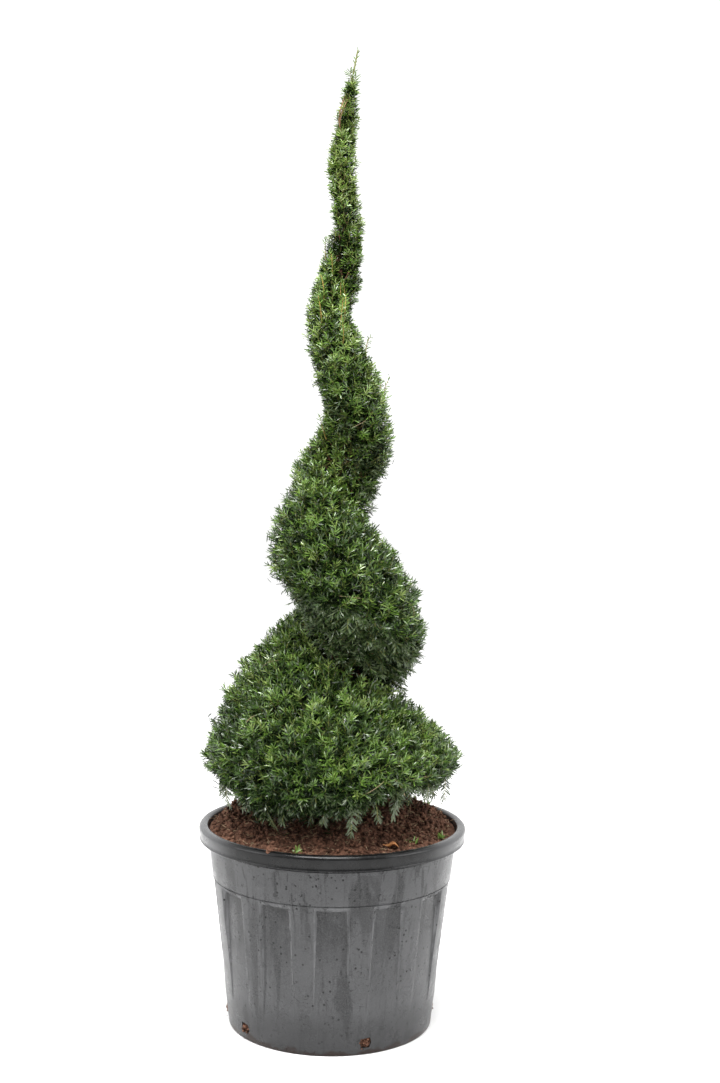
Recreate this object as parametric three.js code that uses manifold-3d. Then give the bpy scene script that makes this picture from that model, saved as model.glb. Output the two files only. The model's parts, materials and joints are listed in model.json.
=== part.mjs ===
// Spiral topiary: a clipped conifer whose foliage winds round one upright trunk, in a round nursery pot.
// Millimetres, +Z up. The origin is the centre of the pot's flat underside. -Y is the front, +X the right.
// The foliage is one band that winds down the trunk to the left-hand. A place along it is counted in turns:
// whole turns lie at the left (-X), quarters at the front, halves at the right, three quarters at the back.
import * as THREE from "three";
import { mergeVertices } from "three/addons/utils/BufferGeometryUtils.js";
import Module from "manifold-3d";

const GAP = 0.3; // between pieces that touch

// Trunk: a true taper on a flared foot, upright until its last stretch, which leans to the right
const TIP_HEIGHT = 2166;
const GROUND_HEIGHT = 480; // the flat cut, level with the top of the soil round it
const TRUNK_FOOT_RADIUS = 16;
const TRUNK_TIP_RADIUS = 1.5;
const FLARE_WIDTH = 10;
const FLARE_HEIGHT = 30;
const LEAN_START = 1850;
const LEAN_REACH = 31;
const TRUNK_SIDES = 12;
const FOOT_RINGS = [0, 14, 32, 60, 110]; // above the ground
const STRAIGHT_RING_STEP = 130;
const LEAN_RING_STEP = 45;

// Groove of the spiral: its height at each whole turn, and its radius at each half turn
const FIRST_HEIGHT_TURN = -2;
const GROOVE_HEIGHTS = [2250, 2080, 1762, 1352, 925, 600, 320];
const FIRST_RADIUS_TURN = -1;
const GROOVE_RADII = [12, 20, 10, 12, 22, 58, 64, 138, 287];
const GROOVE_GAP = 2.2; // upright gap between windings, wide because the groove is steep beside the trunk

// Bulge of the band between two grooves: how far down it is widest, and how wide it is by its height
const WIDEST_SHARES = [0.45, 0.6, 0.48, 0.58, 0.66, 0.68, 0.97]; // at each half turn from the first
const ENVELOPE_FOOT = 600;
const ENVELOPE_STEP = 250;
const ENVELOPE_RADII = [287, 216, 138, 119, 66, 37, 26];
const TIP_TAPER = 0.185; // radius for each millimetre below the tip
const SWELL_POWERS = [0.9, 0.8, 0.85, 0.8, 0.85, 0.85, 0.76, 1.3, 0.8]; // of the sine above that place
const UNDERCUT_POWERS = [2, 2, 2.6, 1.6, 2, 1.1, 1]; // of the cosine below it; both at each half turn
const LEFT_BIAS = 0.012; // share by which the plant is fuller on the left
const UNEVENNESS = 0.04; // share of the radius

// Leader, which closes the band at the top, and skirt, which closes it at the bottom
const LEADER_TOP = 2150;
const LEADER_TOP_RADIUS = 4;
const LEADER_START_TURN = -2;
const LEADER_SHARES = [0.5, 0.55]; // as WIDEST_SHARES, from the leader's start
const LEADER_SWELL = 1.8;
const LEADER_UNDERCUT = 1.5;
const LEADER_OUTER_STEPS = 7;
const SKIRT_WIDEST_HEIGHT = 590;
const SKIRT_HEIGHT = 508;
const SKIRT_DROOP = 12;
const SKIRT_LOW_ANGLE = 225; // degrees: lowest at the front left and back right, highest between them
const SKIRT_SHARE = 0.88;
const BARE_TRUNK_TOP = 558;

const STEPS_PER_TURN = 32;
const INNER_STEPS = 6;
const TRUNK_CLEARANCE = 0.5;

// Nursery pot: a ribbed cone with a turned-over rim, and drain holes just above its floor
const POT_FOOT_RADIUS = 228.7;
const POT_FLARE = 0.119;
const WALL = 4;
const PANELS = 13;
const FIRST_PANEL_ANGLE = 1.2; // from the front towards the right
const PANEL_HALF_ANGLE = 8.7;
const PANEL_BEVEL_ANGLE = 2.9;
const PANEL_DEPTH = 7.5;
const PANEL_FOOT = 75;
const PANEL_LEDGE = 318;
const PANEL_TOP = 336;
const RIM_FOOT = 420;
const RIM_TOP = 453.5;
const RIM_FOOT_RADIUS = 298.4;
const RIM_RADIUS = 300;
const RIM_INNER_RADIUS = 280;
const RIM_ROUND = 4;
const DRAIN_WIDTH = 24;
const DRAIN_HEIGHT = 20;
const DRAIN_MIDDLE = 27.6;
const DRAIN_ANGLES = [-87.5, -51.5, 20.5]; // from the front towards the right, and again straight across

// Soil: it fills the pot, with a flat patch under the trunk and two low heaps near the wall
const SOIL_EDGE_HEIGHT = 440;
const SOIL_PATCH_RADIUS = 34;
const SOIL_RINGS = [0.83, 0.5]; // shares of the way from the patch to the wall
const SOIL_HEAP = 30;
const SOIL_HEAP_ANGLES = [20, 165];

const radians = THREE.MathUtils.degToRad;
const lerp = THREE.MathUtils.lerp;

const wasm = await Module();
wasm.setup();

// Value at a fractional place in a list, on the Catmull-Rom curve through its entries.
function along(values, place) {
  const k = THREE.MathUtils.clamp(Math.floor(place), 0, values.length - 2);
  const entry = (i) => values[THREE.MathUtils.clamp(i, 0, values.length - 1)];
  const [before, start, end, after] = [entry(k - 1), entry(k), entry(k + 1), entry(k + 2)];
  const u = place - k;
  const bend = 2 * before - 5 * start + 4 * end - after + u * (3 * (start - end) + after - before);
  return start + 0.5 * u * (end - before + u * bend);
}

function trunkRadius(z) {
  const share = (z - GROUND_HEIGHT) / (TIP_HEIGHT - GROUND_HEIGHT);
  const flare = FLARE_WIDTH * Math.exp((GROUND_HEIGHT - z) / FLARE_HEIGHT);
  return lerp(TRUNK_FOOT_RADIUS, TRUNK_TIP_RADIUS, share) + flare;
}

// How far right of the pot's axis the trunk's own axis lies at a height.
function trunkOffset(z) {
  const share = Math.max(0, z - LEAN_START) / (TIP_HEIGHT - LEAN_START);
  return LEAN_REACH * share * share;
}

const grooveHeight = (turn) => along(GROOVE_HEIGHTS, turn - FIRST_HEIGHT_TURN);
const grooveRadius = (turn) => along(GROOVE_RADII, 2 * (turn - FIRST_RADIUS_TURN));

function envelope(z) {
  const bulge = along(ENVELOPE_RADII, (z - ENVELOPE_FOOT) / ENVELOPE_STEP);
  return Math.min(bulge, TIP_TAPER * (TIP_HEIGHT - z));
}

// Waves between -1 and 1 that roughen the outline, closed round the trunk.
function ruffle(angle, z) {
  const broad = 0.5 * Math.sin(3 * angle + z / 90);
  const middling = 0.3 * Math.sin(5 * angle - z / 63 + 1);
  const fine = 0.2 * Math.sin(8 * angle + z / 41 + 2);
  return broad + middling + fine;
}

// Solid from rings of equal length, whose first and last are closed with a fan to a centre point. Rings
// that run down are split on their other diagonal, so that an inner wall has the facets of what fills it.
function ringSolid(rings, firstCentre, lastCentre) {
  const count = rings[0].length;
  const points = [...rings.flat(), firstCentre, lastCentre];
  const first = points.length - 2;
  const last = points.length - 1;
  const faces = [];
  for (let n = 0; n < count; n++) {
    const next = (n + 1) % count;
    faces.push([first, next, n]);
    for (let k = 0; k + 1 < rings.length; k++) {
      const falling = rings[k + 1][n][2] < rings[k][n][2];
      const [a, b] = [(k + 1) * count + n, k * count + n];
      const [c, d] = [k * count + next, (k + 1) * count + next];
      faces.push(...(falling ? [[a, b, d], [b, c, d]] : [[a, b, c], [a, c, d]]));
    }
    faces.push([last, (rings.length - 1) * count + n, (rings.length - 1) * count + next]);
  }
  return solidGeometry(points, faces);
}

// Solid swept through half sections of equal length: each is an outline of [radius, height] points that
// starts at the top of its inner wall. Strips that run inwards are split on their other diagonal, so that
// the two sides of a groove have the same facets.
function sweptSolid(sections) {
  const count = sections[0].outline.length;
  const points = sections.flatMap(({ outline, angle, shift }) =>
    outline.map(([radius, z]) => [
      trunkOffset(z) + radius * Math.cos(angle) - shift * Math.sin(angle),
      radius * Math.sin(angle) + shift * Math.cos(angle),
      z,
    ]),
  );
  const faces = [];
  for (let i = 0; i + 1 < sections.length; i++) {
    for (let j = 0; j < count; j++) {
      const next = (j + 1) % count;
      const [a, b] = [i * count + j, i * count + next];
      const [c, d] = [b + count, a + count];
      const inwards = sections[i].outline[j][0] > sections[i].outline[next][0];
      faces.push(...(inwards ? [[a, b, d], [b, c, d]] : [[a, b, c], [a, c, d]]));
    }
  }
  const end = (sections.length - 1) * count;
  for (const [p, q, r] of capTriangles(sections[0].outline)) faces.push([p, q, r]);
  for (const [p, q, r] of capTriangles(sections.at(-1).outline)) faces.push([end + r, end + q, end + p]);
  return solidGeometry(points, faces);
}

// Triangles that fill a half section, anticlockwise, as a ladder between its inner wall and its outer side,
// which both run down: the side whose next point is the higher one takes the next rung.
function capTriangles(outline) {
  const innerFoot = outline.length - INNER_STEPS;
  const inner = [0];
  for (let j = outline.length - 1; j >= innerFoot; j--) inner.push(j);
  const outer = Array.from({ length: innerFoot - 1 }, (_, j) => j + 1);
  const triangles = [];
  let [i, o] = [0, 0];
  while (i + 1 < inner.length || o + 1 < outer.length) {
    const innerNext = i + 1 < inner.length ? outline[inner[i + 1]][1] : -Infinity;
    const outerNext = o + 1 < outer.length ? outline[outer[o + 1]][1] : -Infinity;
    if (outerNext >= innerNext) {
      triangles.push([inner[i], outer[o + 1], outer[o]]);
      o += 1;
    } else {
      triangles.push([inner[i], inner[i + 1], outer[o]]);
      i += 1;
    }
  }
  return triangles;
}

function solidGeometry(points, faces) {
  const geometry = new THREE.BufferGeometry();
  geometry.setAttribute("position", new THREE.Float32BufferAttribute(points.flat(), 3));
  geometry.setIndex(faces.flat());
  geometry.computeVertexNormals();
  return geometry;
}

function toSolid(geometry) {
  const bare = geometry.clone();
  bare.deleteAttribute("normal");
  bare.deleteAttribute("uv");
  const merged = mergeVertices(bare);
  const vertProperties = new Float32Array(merged.attributes.position.array);
  const triVerts = new Uint32Array(merged.index.array);
  return new wasm.Manifold(new wasm.Mesh({ numProp: 3, vertProperties, triVerts }));
}

function fromSolid(solid) {
  const mesh = solid.getMesh();
  const geometry = new THREE.BufferGeometry();
  geometry.setAttribute("position", new THREE.BufferAttribute(mesh.vertProperties, 3));
  geometry.setIndex(new THREE.BufferAttribute(mesh.triVerts, 1));
  geometry.computeVertexNormals();
  return geometry;
}

function trunk() {
  const heights = FOOT_RINGS.map((rise) => GROUND_HEIGHT + rise);
  while (heights.at(-1) < LEAN_START - STRAIGHT_RING_STEP) heights.push(heights.at(-1) + STRAIGHT_RING_STEP);
  for (let z = LEAN_START; z < TIP_HEIGHT - LEAN_RING_STEP / 2; z += LEAN_RING_STEP) heights.push(z);
  heights.push(TIP_HEIGHT);
  const rings = heights.map((z) =>
    Array.from({ length: TRUNK_SIDES }, (_, n) => {
      const angle = (2 * Math.PI * n) / TRUNK_SIDES;
      return [trunkOffset(z) + trunkRadius(z) * Math.cos(angle), trunkRadius(z) * Math.sin(angle), z];
    }),
  );
  return ringSolid(rings, [0, 0, GROUND_HEIGHT], [trunkOffset(TIP_HEIGHT), 0, TIP_HEIGHT]);
}

// Ends of the band's half section at a place along it: the groove or the leader's top above, the groove
// or the skirt below, the share of the way down at which it is widest, the powers that shape it above and
// below that place, and where it meets the trunk at the bottom.
function bandEnds(kind, turn, angle) {
  const place = 2 * (turn - FIRST_RADIUS_TURN);
  const swell = along(SWELL_POWERS, place);
  const above = { z: grooveHeight(turn) - GROOVE_GAP / 2, radius: grooveRadius(turn) };
  if (kind === "leader") Object.assign(above, { z: LEADER_TOP, radius: LEADER_TOP_RADIUS });
  if (kind === "skirt") {
    const z = SKIRT_HEIGHT - SKIRT_DROOP * Math.cos(2 * (angle - radians(SKIRT_LOW_ANGLE)));
    const widest = (above.z - SKIRT_WIDEST_HEIGHT) / (above.z - z);
    const below = { z, radius: SKIRT_SHARE * envelope(SKIRT_WIDEST_HEIGHT) };
    return { above, below, widest, swell, undercut: 1, innerBottom: BARE_TRUNK_TOP };
  }
  const below = { z: grooveHeight(turn + 1) + GROOVE_GAP / 2, radius: grooveRadius(turn + 1) };
  if (kind === "leader") {
    const widest = along(LEADER_SHARES, turn - LEADER_START_TURN);
    return { above, below, widest, swell: LEADER_SWELL, undercut: LEADER_UNDERCUT, innerBottom: below.z };
  }
  const [widest, undercut] = [along(WIDEST_SHARES, place), along(UNDERCUT_POWERS, place)];
  return { above, below, widest, swell, undercut, innerBottom: below.z };
}

// Half section of the band: out from the trunk along the top, over a bulge that swells as a sine down to
// its widest place and shrinks as a cosine below it, and back along the trunk.
function bandOutline(kind, turn, angle, outerSteps) {
  const { above, below, widest, swell, undercut, innerBottom } = bandEnds(kind, turn, angle);
  const bulge = envelope(lerp(above.z, below.z, widest));
  const inner = (z) => [trunkRadius(z) + TRUNK_CLEARANCE, z];
  const outline = [inner(above.z)];
  for (let k = 0; k <= outerSteps; k++) {
    const s = k / outerSteps;
    const z = lerp(above.z, below.z, s);
    const down = (0.5 * Math.PI * (s - widest)) / (1 - widest);
    const radius =
      s <= widest
        ? lerp(above.radius, bulge, Math.sin((0.5 * Math.PI * s) / widest) ** swell)
        : lerp(below.radius, bulge, Math.max(0, Math.cos(down)) ** undercut);
    outline.push([radius * (1 + UNEVENNESS * ruffle(angle, z) - LEFT_BIAS * Math.cos(angle)), z]);
  }
  for (let k = 0; k < INNER_STEPS; k++) outline.push(inner(lerp(innerBottom, above.z, k / INNER_STEPS)));
  return outline;
}

// One mass of foliage: the stretch of the band from one turn to another.
function foliage(kind, start, end, outerSteps) {
  const steps = Math.round((end - start) * STEPS_PER_TURN);
  const sections = [];
  for (let i = 0; i <= steps; i++) {
    const turn = lerp(start, end, i / steps);
    const angle = Math.PI + 2 * Math.PI * turn;
    const shift = (i === 0 ? GAP / 2 : 0) - (i === steps ? GAP / 2 : 0);
    sections.push({ outline: bandOutline(kind, turn, angle, outerSteps), angle, shift });
  }
  return sweptSolid(sections);
}

// Outer radius of the pot's wall; panelShare is 1 on the floor of a recessed panel and 0 on a rib.
function potRadius(z, panelShare) {
  const [low, high] = z > PANEL_LEDGE ? [PANEL_TOP, PANEL_LEDGE] : [PANEL_FOOT, PANEL_LEDGE];
  const sunk = THREE.MathUtils.clamp((z - low) / (high - low), 0, 1);
  return POT_FOOT_RADIUS + POT_FLARE * z - PANEL_DEPTH * panelShare * sunk;
}

// Places round the pot, each with how much of a panel it is: a panel's two edges and those of its floor.
function potStations() {
  const floor = PANEL_HALF_ANGLE - PANEL_BEVEL_ANGLE;
  const module = [[-PANEL_HALF_ANGLE, 0], [-floor, 1], [floor, 1], [PANEL_HALF_ANGLE, 0]];
  const stations = [];
  for (let k = 0; k < PANELS; k++) {
    for (const [offset, panelShare] of module) {
      stations.push({ angle: radians(FIRST_PANEL_ANGLE - 90 + (360 / PANELS) * k + offset), panelShare });
    }
  }
  return stations;
}

function ringAt(z, radiusAt) {
  return potStations().map(({ angle, panelShare }) => {
    const radius = radiusAt(z, panelShare);
    return [radius * Math.cos(angle), radius * Math.sin(angle), z];
  });
}

function drainHoles() {
  const holes = DRAIN_ANGLES.flatMap((angle) => [angle, angle + 180]);
  return holes.map((angle) => {
    const box = new THREE.BoxGeometry(8 * WALL, DRAIN_WIDTH, DRAIN_HEIGHT);
    box.translate(potRadius(DRAIN_MIDDLE, 0), 0, DRAIN_MIDDLE);
    box.rotateZ(radians(angle - 90));
    return toSolid(box);
  });
}

function pot() {
  const outside = [0, PANEL_FOOT, PANEL_LEDGE, PANEL_TOP, RIM_TOP - 2 * RIM_ROUND];
  const inside = [RIM_TOP - RIM_ROUND, PANEL_TOP, PANEL_LEDGE, PANEL_FOOT, WALL];
  const round = (radius) => () => radius;
  const rings = [
    ...outside.map((z) => ringAt(z, potRadius)),
    ringAt(RIM_TOP - 2 * RIM_ROUND, round(RIM_RADIUS - WALL)),
    ringAt(RIM_FOOT, round(RIM_FOOT_RADIUS - WALL)),
    ringAt(RIM_FOOT, round(RIM_FOOT_RADIUS)),
    ringAt(RIM_TOP - RIM_ROUND, round(RIM_RADIUS)),
    ringAt(RIM_TOP, round(RIM_RADIUS - RIM_ROUND)),
    ringAt(RIM_TOP, round(RIM_INNER_RADIUS + RIM_ROUND)),
    ...inside.map((z) => ringAt(z, (height, panelShare) => potRadius(height, panelShare) - WALL)),
  ];
  const shell = toSolid(ringSolid(rings, [0, 0, 0], [0, 0, WALL]));
  return fromSolid(drainHoles().reduce((solid, hole) => solid.subtract(hole), shell));
}

function soil() {
  const wallRadius = (z, panelShare) => potRadius(z, panelShare) - WALL - GAP;
  const edge = wallRadius(SOIL_EDGE_HEIGHT, 0);
  const patchHeight = GROUND_HEIGHT - GAP;
  const sides = [WALL + GAP, PANEL_FOOT, PANEL_LEDGE, PANEL_TOP, SOIL_EDGE_HEIGHT];
  const heap = (angle) =>
    SOIL_HEAP * SOIL_HEAP_ANGLES.reduce((sum, a) => sum + Math.max(0, Math.cos(angle - radians(a))) ** 4, 0);
  const mound = SOIL_RINGS.map((share) =>
    ringAt(0, () => lerp(SOIL_PATCH_RADIUS, edge, share)).map(([x, y]) => {
      const rise = lerp(patchHeight, SOIL_EDGE_HEIGHT, share * share);
      return [x, y, rise + heap(Math.atan2(y, x)) * share * share];
    }),
  );
  const patch = ringAt(patchHeight, () => SOIL_PATCH_RADIUS);
  const rings = [...sides.map((z) => ringAt(z, wallRadius)), ...mound, patch];
  return ringSolid(rings, [0, 0, WALL + GAP], [0, 0, patchHeight]);
}

const foliageGreen = new THREE.MeshStandardMaterial({ color: 0x55673a, roughness: 0.85, metalness: 0 });
const bark = new THREE.MeshStandardMaterial({ color: 0x6b4a38, roughness: 0.9, metalness: 0 });
const peat = new THREE.MeshStandardMaterial({ color: 0x5d4236, roughness: 1, metalness: 0 });
const greyPlastic = new THREE.MeshStandardMaterial({ color: 0x4d4f52, roughness: 0.4, metalness: 0 });

const topiary = new THREE.Group();

function addPiece(name, geometry, material) {
  const mesh = new THREE.Mesh(geometry, material.clone());
  mesh.name = name;
  topiary.add(mesh);
}

addPiece("nursery_pot", pot(), greyPlastic);
addPiece("soil", soil(), peat);
addPiece("trunk", trunk(), bark);

const QUARTERS = ["front_left", "front_right", "back_right", "back_left"];
const COILS = [
  { name: "base_tier", kind: "skirt", turn: 2, outerSteps: 12, stretches: QUARTERS },
  { name: "lower_coil", kind: "coil", turn: 1, outerSteps: 11, stretches: QUARTERS },
  { name: "middle_coil", kind: "coil", turn: 0, outerSteps: 10, stretches: QUARTERS },
  { name: "upper_coil", kind: "coil", turn: -1, outerSteps: 9, stretches: ["front", "back"] },
];
for (const { name, kind, turn, outerSteps, stretches } of COILS) {
  stretches.forEach((stretch, k) => {
    const start = turn + k / stretches.length;
    const end = turn + (k + 1) / stretches.length;
    addPiece(`${name}_${stretch}`, foliage(kind, start, end, outerSteps), foliageGreen);
  });
}
const leaderMass = foliage("leader", LEADER_START_TURN, LEADER_START_TURN + 1, LEADER_OUTER_STEPS);
addPiece("leader", leaderMass, foliageGreen);

export default topiary;
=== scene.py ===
"""Looks of the spiral topiary: pot, soil, bark, boughs, twigs and needles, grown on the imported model.

The file is laid out as an add-on and is run as a script. Every length is in metres, in the model's own
frame: +Z up, -Y the front, and the origin at the centre of the pot's underside. New pieces are worked out
as whole numpy arrays, and each function says its formula in words.
"""

import json
import math

import bpy
import numpy as np
from mathutils import Matrix, Vector
from mathutils.bvhtree import BVHTree


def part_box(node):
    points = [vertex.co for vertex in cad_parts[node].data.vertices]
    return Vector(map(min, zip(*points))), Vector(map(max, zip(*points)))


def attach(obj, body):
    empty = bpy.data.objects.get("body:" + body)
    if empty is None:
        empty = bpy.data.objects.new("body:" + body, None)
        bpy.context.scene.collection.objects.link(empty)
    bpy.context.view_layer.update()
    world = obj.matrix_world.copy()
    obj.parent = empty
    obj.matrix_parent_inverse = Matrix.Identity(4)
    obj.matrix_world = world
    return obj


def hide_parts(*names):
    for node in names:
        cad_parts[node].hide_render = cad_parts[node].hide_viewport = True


bl_info = {
    "name": "Spiral Topiary",
    "version": (1, 0, 0),
    "blender": (4, 5, 0),
    "location": "View3D > Sidebar > Topiary",
    "description": "Grows a clipped spiral conifer in a ribbed nursery pot",
    "category": "Object",
}

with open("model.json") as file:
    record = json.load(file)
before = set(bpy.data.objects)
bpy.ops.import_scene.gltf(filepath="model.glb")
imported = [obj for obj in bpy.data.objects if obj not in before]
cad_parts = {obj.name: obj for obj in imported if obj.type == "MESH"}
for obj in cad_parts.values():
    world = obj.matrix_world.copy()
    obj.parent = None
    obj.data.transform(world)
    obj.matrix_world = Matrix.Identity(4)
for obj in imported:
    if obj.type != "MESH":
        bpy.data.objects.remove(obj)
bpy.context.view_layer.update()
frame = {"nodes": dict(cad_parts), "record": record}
SLOT_OF = {part["node"]: part["material_slot"] for part in frame["record"]["subparts"]}
FOLIAGE_NODES = sorted(node for node, slot in SLOT_OF.items() if slot == "foliage")
MAX_TRIANGLES = 190_000  # in one piece
GOLDEN_ANGLE = math.radians(137.5)
UP = np.array([0.0, 0.0, 1.0])
LEVEL = np.array([1.0, 1.0, 0.0])  # times a vector, it leaves the level part


# ---------------------------------------------------------------- arrays


def unit(vectors):
    """Each vector divided by its length."""
    return vectors / np.maximum(np.linalg.norm(vectors, axis=-1, keepdims=True), 1e-12)


def smooth(low, high, value):
    """0 below low, 1 above high, and the smooth cubic step between them."""
    share = np.clip((value - low) / (high - low), 0.0, 1.0)
    return share * share * (3.0 - 2.0 * share)


def lerp(start, end, share):
    """The value that lies that share of the way from start to end."""
    return start + (end - start) * share


def lattice_noise(points, cell, seed):
    """Smooth noise from -1 to 1: random values at the corners of a lattice, blended by the smooth step."""
    size = 32
    table = np.random.default_rng(seed).uniform(-1.0, 1.0, (size, size, size))
    scaled = np.asarray(points) / cell
    floor = np.floor(scaled).astype(int)
    part = scaled - floor
    part = part * part * (3.0 - 2.0 * part)
    total = np.zeros(scaled.shape[:-1])
    for corner in np.ndindex(2, 2, 2):
        index = (floor + corner) % size
        weight = np.prod(np.where(np.array(corner) == 1, part, 1.0 - part), axis=-1)
        total += weight * table[index[..., 0], index[..., 1], index[..., 2]]
    return total


def around(radius, turn, z):
    """Points at those radii and turns about the pot's axis, and at those heights."""
    return np.stack(np.broadcast_arrays(radius * np.cos(turn), radius * np.sin(turn), z), axis=-1)


def evenly(points, spacing, rng):
    """Indices of points thinned to one for each cubic cell of that spacing, in a random order."""
    order = rng.permutation(len(points))
    cells = np.floor(points[order] / spacing + rng.random(3)).astype(int)
    _, first = np.unique(cells, axis=0, return_index=True)
    return order[first]


def nearest(points, others):
    """For each point, the index of the nearest of the others: the one with the least squared distance, less
    the part of it that is the same for all."""
    squares = (others**2).sum(1)[None, :] - 2.0 * points @ others.T
    return squares.argmin(axis=1)


# ---------------------------------------------------------------- meshes


def add_piece(name, points, faces, material, slot, nodes=(), smooth_angle=None):
    """An object with a mesh of triangles or quads from arrays, that rides on the root body and takes the
    place of the nodes. Edges sharper than the smooth angle stay sharp, and without one all faces are flat."""
    points = np.asarray(points, np.float32).reshape(-1, 3)
    faces = np.asarray(faces, np.int32)
    if not len(faces):
        raise RuntimeError(f"{name} has come out empty")
    count, corners = faces.shape
    mesh = bpy.data.meshes.new(name)
    mesh.vertices.add(len(points))
    mesh.vertices.foreach_set("co", points.ravel())
    mesh.loops.add(count * corners)
    mesh.loops.foreach_set("vertex_index", faces.ravel())
    mesh.polygons.add(count)
    mesh.polygons.foreach_set("loop_start", np.arange(count, dtype=np.int32) * corners)
    mesh.update(calc_edges=True)
    mesh.validate()
    if smooth_angle is not None:
        mesh.shade_smooth()
        mesh.set_sharp_from_angle(angle=smooth_angle)
    mesh.materials.append(material)
    piece = bpy.data.objects.new(name, mesh)
    bpy.context.scene.collection.objects.link(piece)
    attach(piece, "root")
    if nodes:
        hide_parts(*nodes)
    return piece


def grid_quads(rows, columns, closed):
    """Quads between neighbouring rows of a grid of points, whose columns close round if closed."""
    row = np.arange(rows - 1)[:, None]
    column = np.arange(columns if closed else columns - 1)[None, :]
    after = (column + 1) % columns
    quads = [row * columns + column, row * columns + after, (row + 1) * columns + after]
    quads.append((row + 1) * columns + column)
    return np.stack(np.broadcast_arrays(*quads), axis=-1).reshape(-1, 4)


def closed_surface(rings):
    """Points and triangles of a grid of rings, shape (rows, columns, 3), each closed round, with a centre
    point added beyond the first and the last ring, so that both poles are closed."""
    rows, columns = rings.shape[:2]
    quads = grid_quads(rows, columns, closed=True)
    triangles = np.concatenate([quads[:, [0, 1, 2]], quads[:, [0, 2, 3]]])
    points = np.concatenate([rings.reshape(-1, 3), rings[[0, -1]].mean(axis=1)])
    first, last = rows * columns, rows * columns + 1
    ring = np.arange(columns)
    after = (ring + 1) % columns
    start_fan = np.stack([np.full(columns, first), after, ring], axis=1)
    top = (rows - 1) * columns
    end_fan = np.stack([np.full(columns, last), top + ring, top + after], axis=1)
    return points, np.concatenate([triangles, start_fan, end_fan])


def tubes(paths, radii, sides):
    """Points and triangles of round limbs: a ring of sides points about each point of each path, shape
    (limbs, stations, 3), at its radius, shape (limbs, stations), and a centre point closing both ends."""
    limbs, stations = paths.shape[:2]
    along = unit(np.gradient(paths, axis=1))
    steep = np.abs(along[:, :1, 2:]) > 0.8
    helper = np.where(steep, [1.0, 0.0, 0.0], UP)
    side = unit(np.cross(along, helper))
    other = np.cross(along, side)
    turn = np.arange(sides) * 2.0 * math.pi / sides
    spokes = np.cos(turn)[:, None] * side[:, :, None] + np.sin(turn)[:, None] * other[:, :, None]
    rings = paths[:, :, None] + radii[:, :, None, None] * spokes
    points = np.concatenate([rings.reshape(limbs, -1, 3), paths[:, [0, -1]]], axis=1)
    quads = grid_quads(stations, sides, closed=True)
    ring = np.arange(sides)
    after = (ring + 1) % sides
    start, end, top = stations * sides, stations * sides + 1, (stations - 1) * sides
    caps = [
        np.stack([np.full(sides, start), after, ring], axis=1),
        np.stack([np.full(sides, end), top + ring, top + after], axis=1),
    ]
    one = np.concatenate([quads[:, [0, 1, 2]], quads[:, [0, 2, 3]], *caps])
    offset = np.arange(limbs)[:, None, None] * points.shape[1]
    return points.reshape(-1, 3), (one[None] + offset).reshape(-1, 3)


def bend(start, middle, end, share):
    """Points on the quadratic curve from start to end that middle pulls: one row of shares for each limb."""
    share = share[..., None]
    start, middle, end = start[:, None], middle[:, None], end[:, None]
    return (1 - share) ** 2 * start + 2 * (1 - share) * share * middle + share**2 * end


def bend_direction(start, middle, end, share):
    """Unit direction of that curve at each share."""
    share = share[..., None]
    start, middle, end = start[:, None], middle[:, None], end[:, None]
    return unit((1 - share) * (middle - start) + share * (end - middle))


def lumps(centres, sizes, rng):
    """Small uneven solids: an octahedron at each centre whose six corners are moved out by random shares."""
    corners = np.concatenate([np.eye(3), -np.eye(3)])
    faces = [[0, 1, 2], [1, 3, 2], [3, 4, 2], [4, 0, 2], [1, 0, 5], [3, 1, 5], [4, 3, 5], [0, 4, 5]]
    turn = unit(rng.normal(size=(len(centres), 3, 3)))
    first = turn[:, 0]
    second = unit(np.cross(first, turn[:, 1]))
    axes = np.stack([first, second, np.cross(first, second)], axis=1)
    reach = corners[None] * rng.uniform(0.55, 1.25, (len(centres), 6, 1))
    points = centres[:, None] + sizes[:, None, None] * (reach @ axes)
    offset = np.arange(len(centres))[:, None, None] * 6
    return points.reshape(-1, 3), (np.array(faces)[None] + offset).reshape(-1, 3)


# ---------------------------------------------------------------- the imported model


def node_triangles(*names):
    """Corners of the named nodes' triangles, shape (triangles, 3, 3)."""
    found = []
    for name in names:
        mesh = frame["nodes"][name].data
        mesh.calc_loop_triangles()
        corners = np.empty(len(mesh.vertices) * 3)
        mesh.vertices.foreach_get("co", corners)
        index = np.empty(len(mesh.loop_triangles) * 3, np.int32)
        mesh.loop_triangles.foreach_get("vertices", index)
        found.append(corners.reshape(-1, 3)[index.reshape(-1, 3)])
    return np.concatenate(found)


def trunk_line():
    """Heights of the trunk's rings, how far right of the pot's axis each is centred, and its radius."""
    corners = node_triangles("trunk").reshape(-1, 3)
    heights = np.unique(corners[:, 2].round(4))
    rings = [corners[np.abs(corners[:, 2] - z) < 1e-3] for z in heights]
    centres = np.array([(ring[:, 0].min() + ring[:, 0].max()) / 2 for ring in rings])
    radii = np.array([np.ptp(ring[:, 0]) / 2 for ring in rings])
    return heights, centres, radii


TRUNK_HEIGHTS, TRUNK_CENTRES, TRUNK_RADII = trunk_line()
TRUNK_FOOT, TRUNK_TOP = TRUNK_HEIGHTS[0], TRUNK_HEIGHTS[-1]


def trunk_point(z):
    """The point of the trunk's own axis at each height."""
    z = np.asarray(z, float)
    return np.stack([np.interp(z, TRUNK_HEIGHTS, TRUNK_CENTRES), np.zeros_like(z), z], axis=-1)


def trunk_radius(z):
    """The trunk's own radius at each height."""
    return np.interp(z, TRUNK_HEIGHTS, TRUNK_RADII)


def outwards(points):
    """Unit direction from the trunk's axis to each point, level with it."""
    return unit((points - trunk_point(points[:, 2])) * LEVEL)


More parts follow.
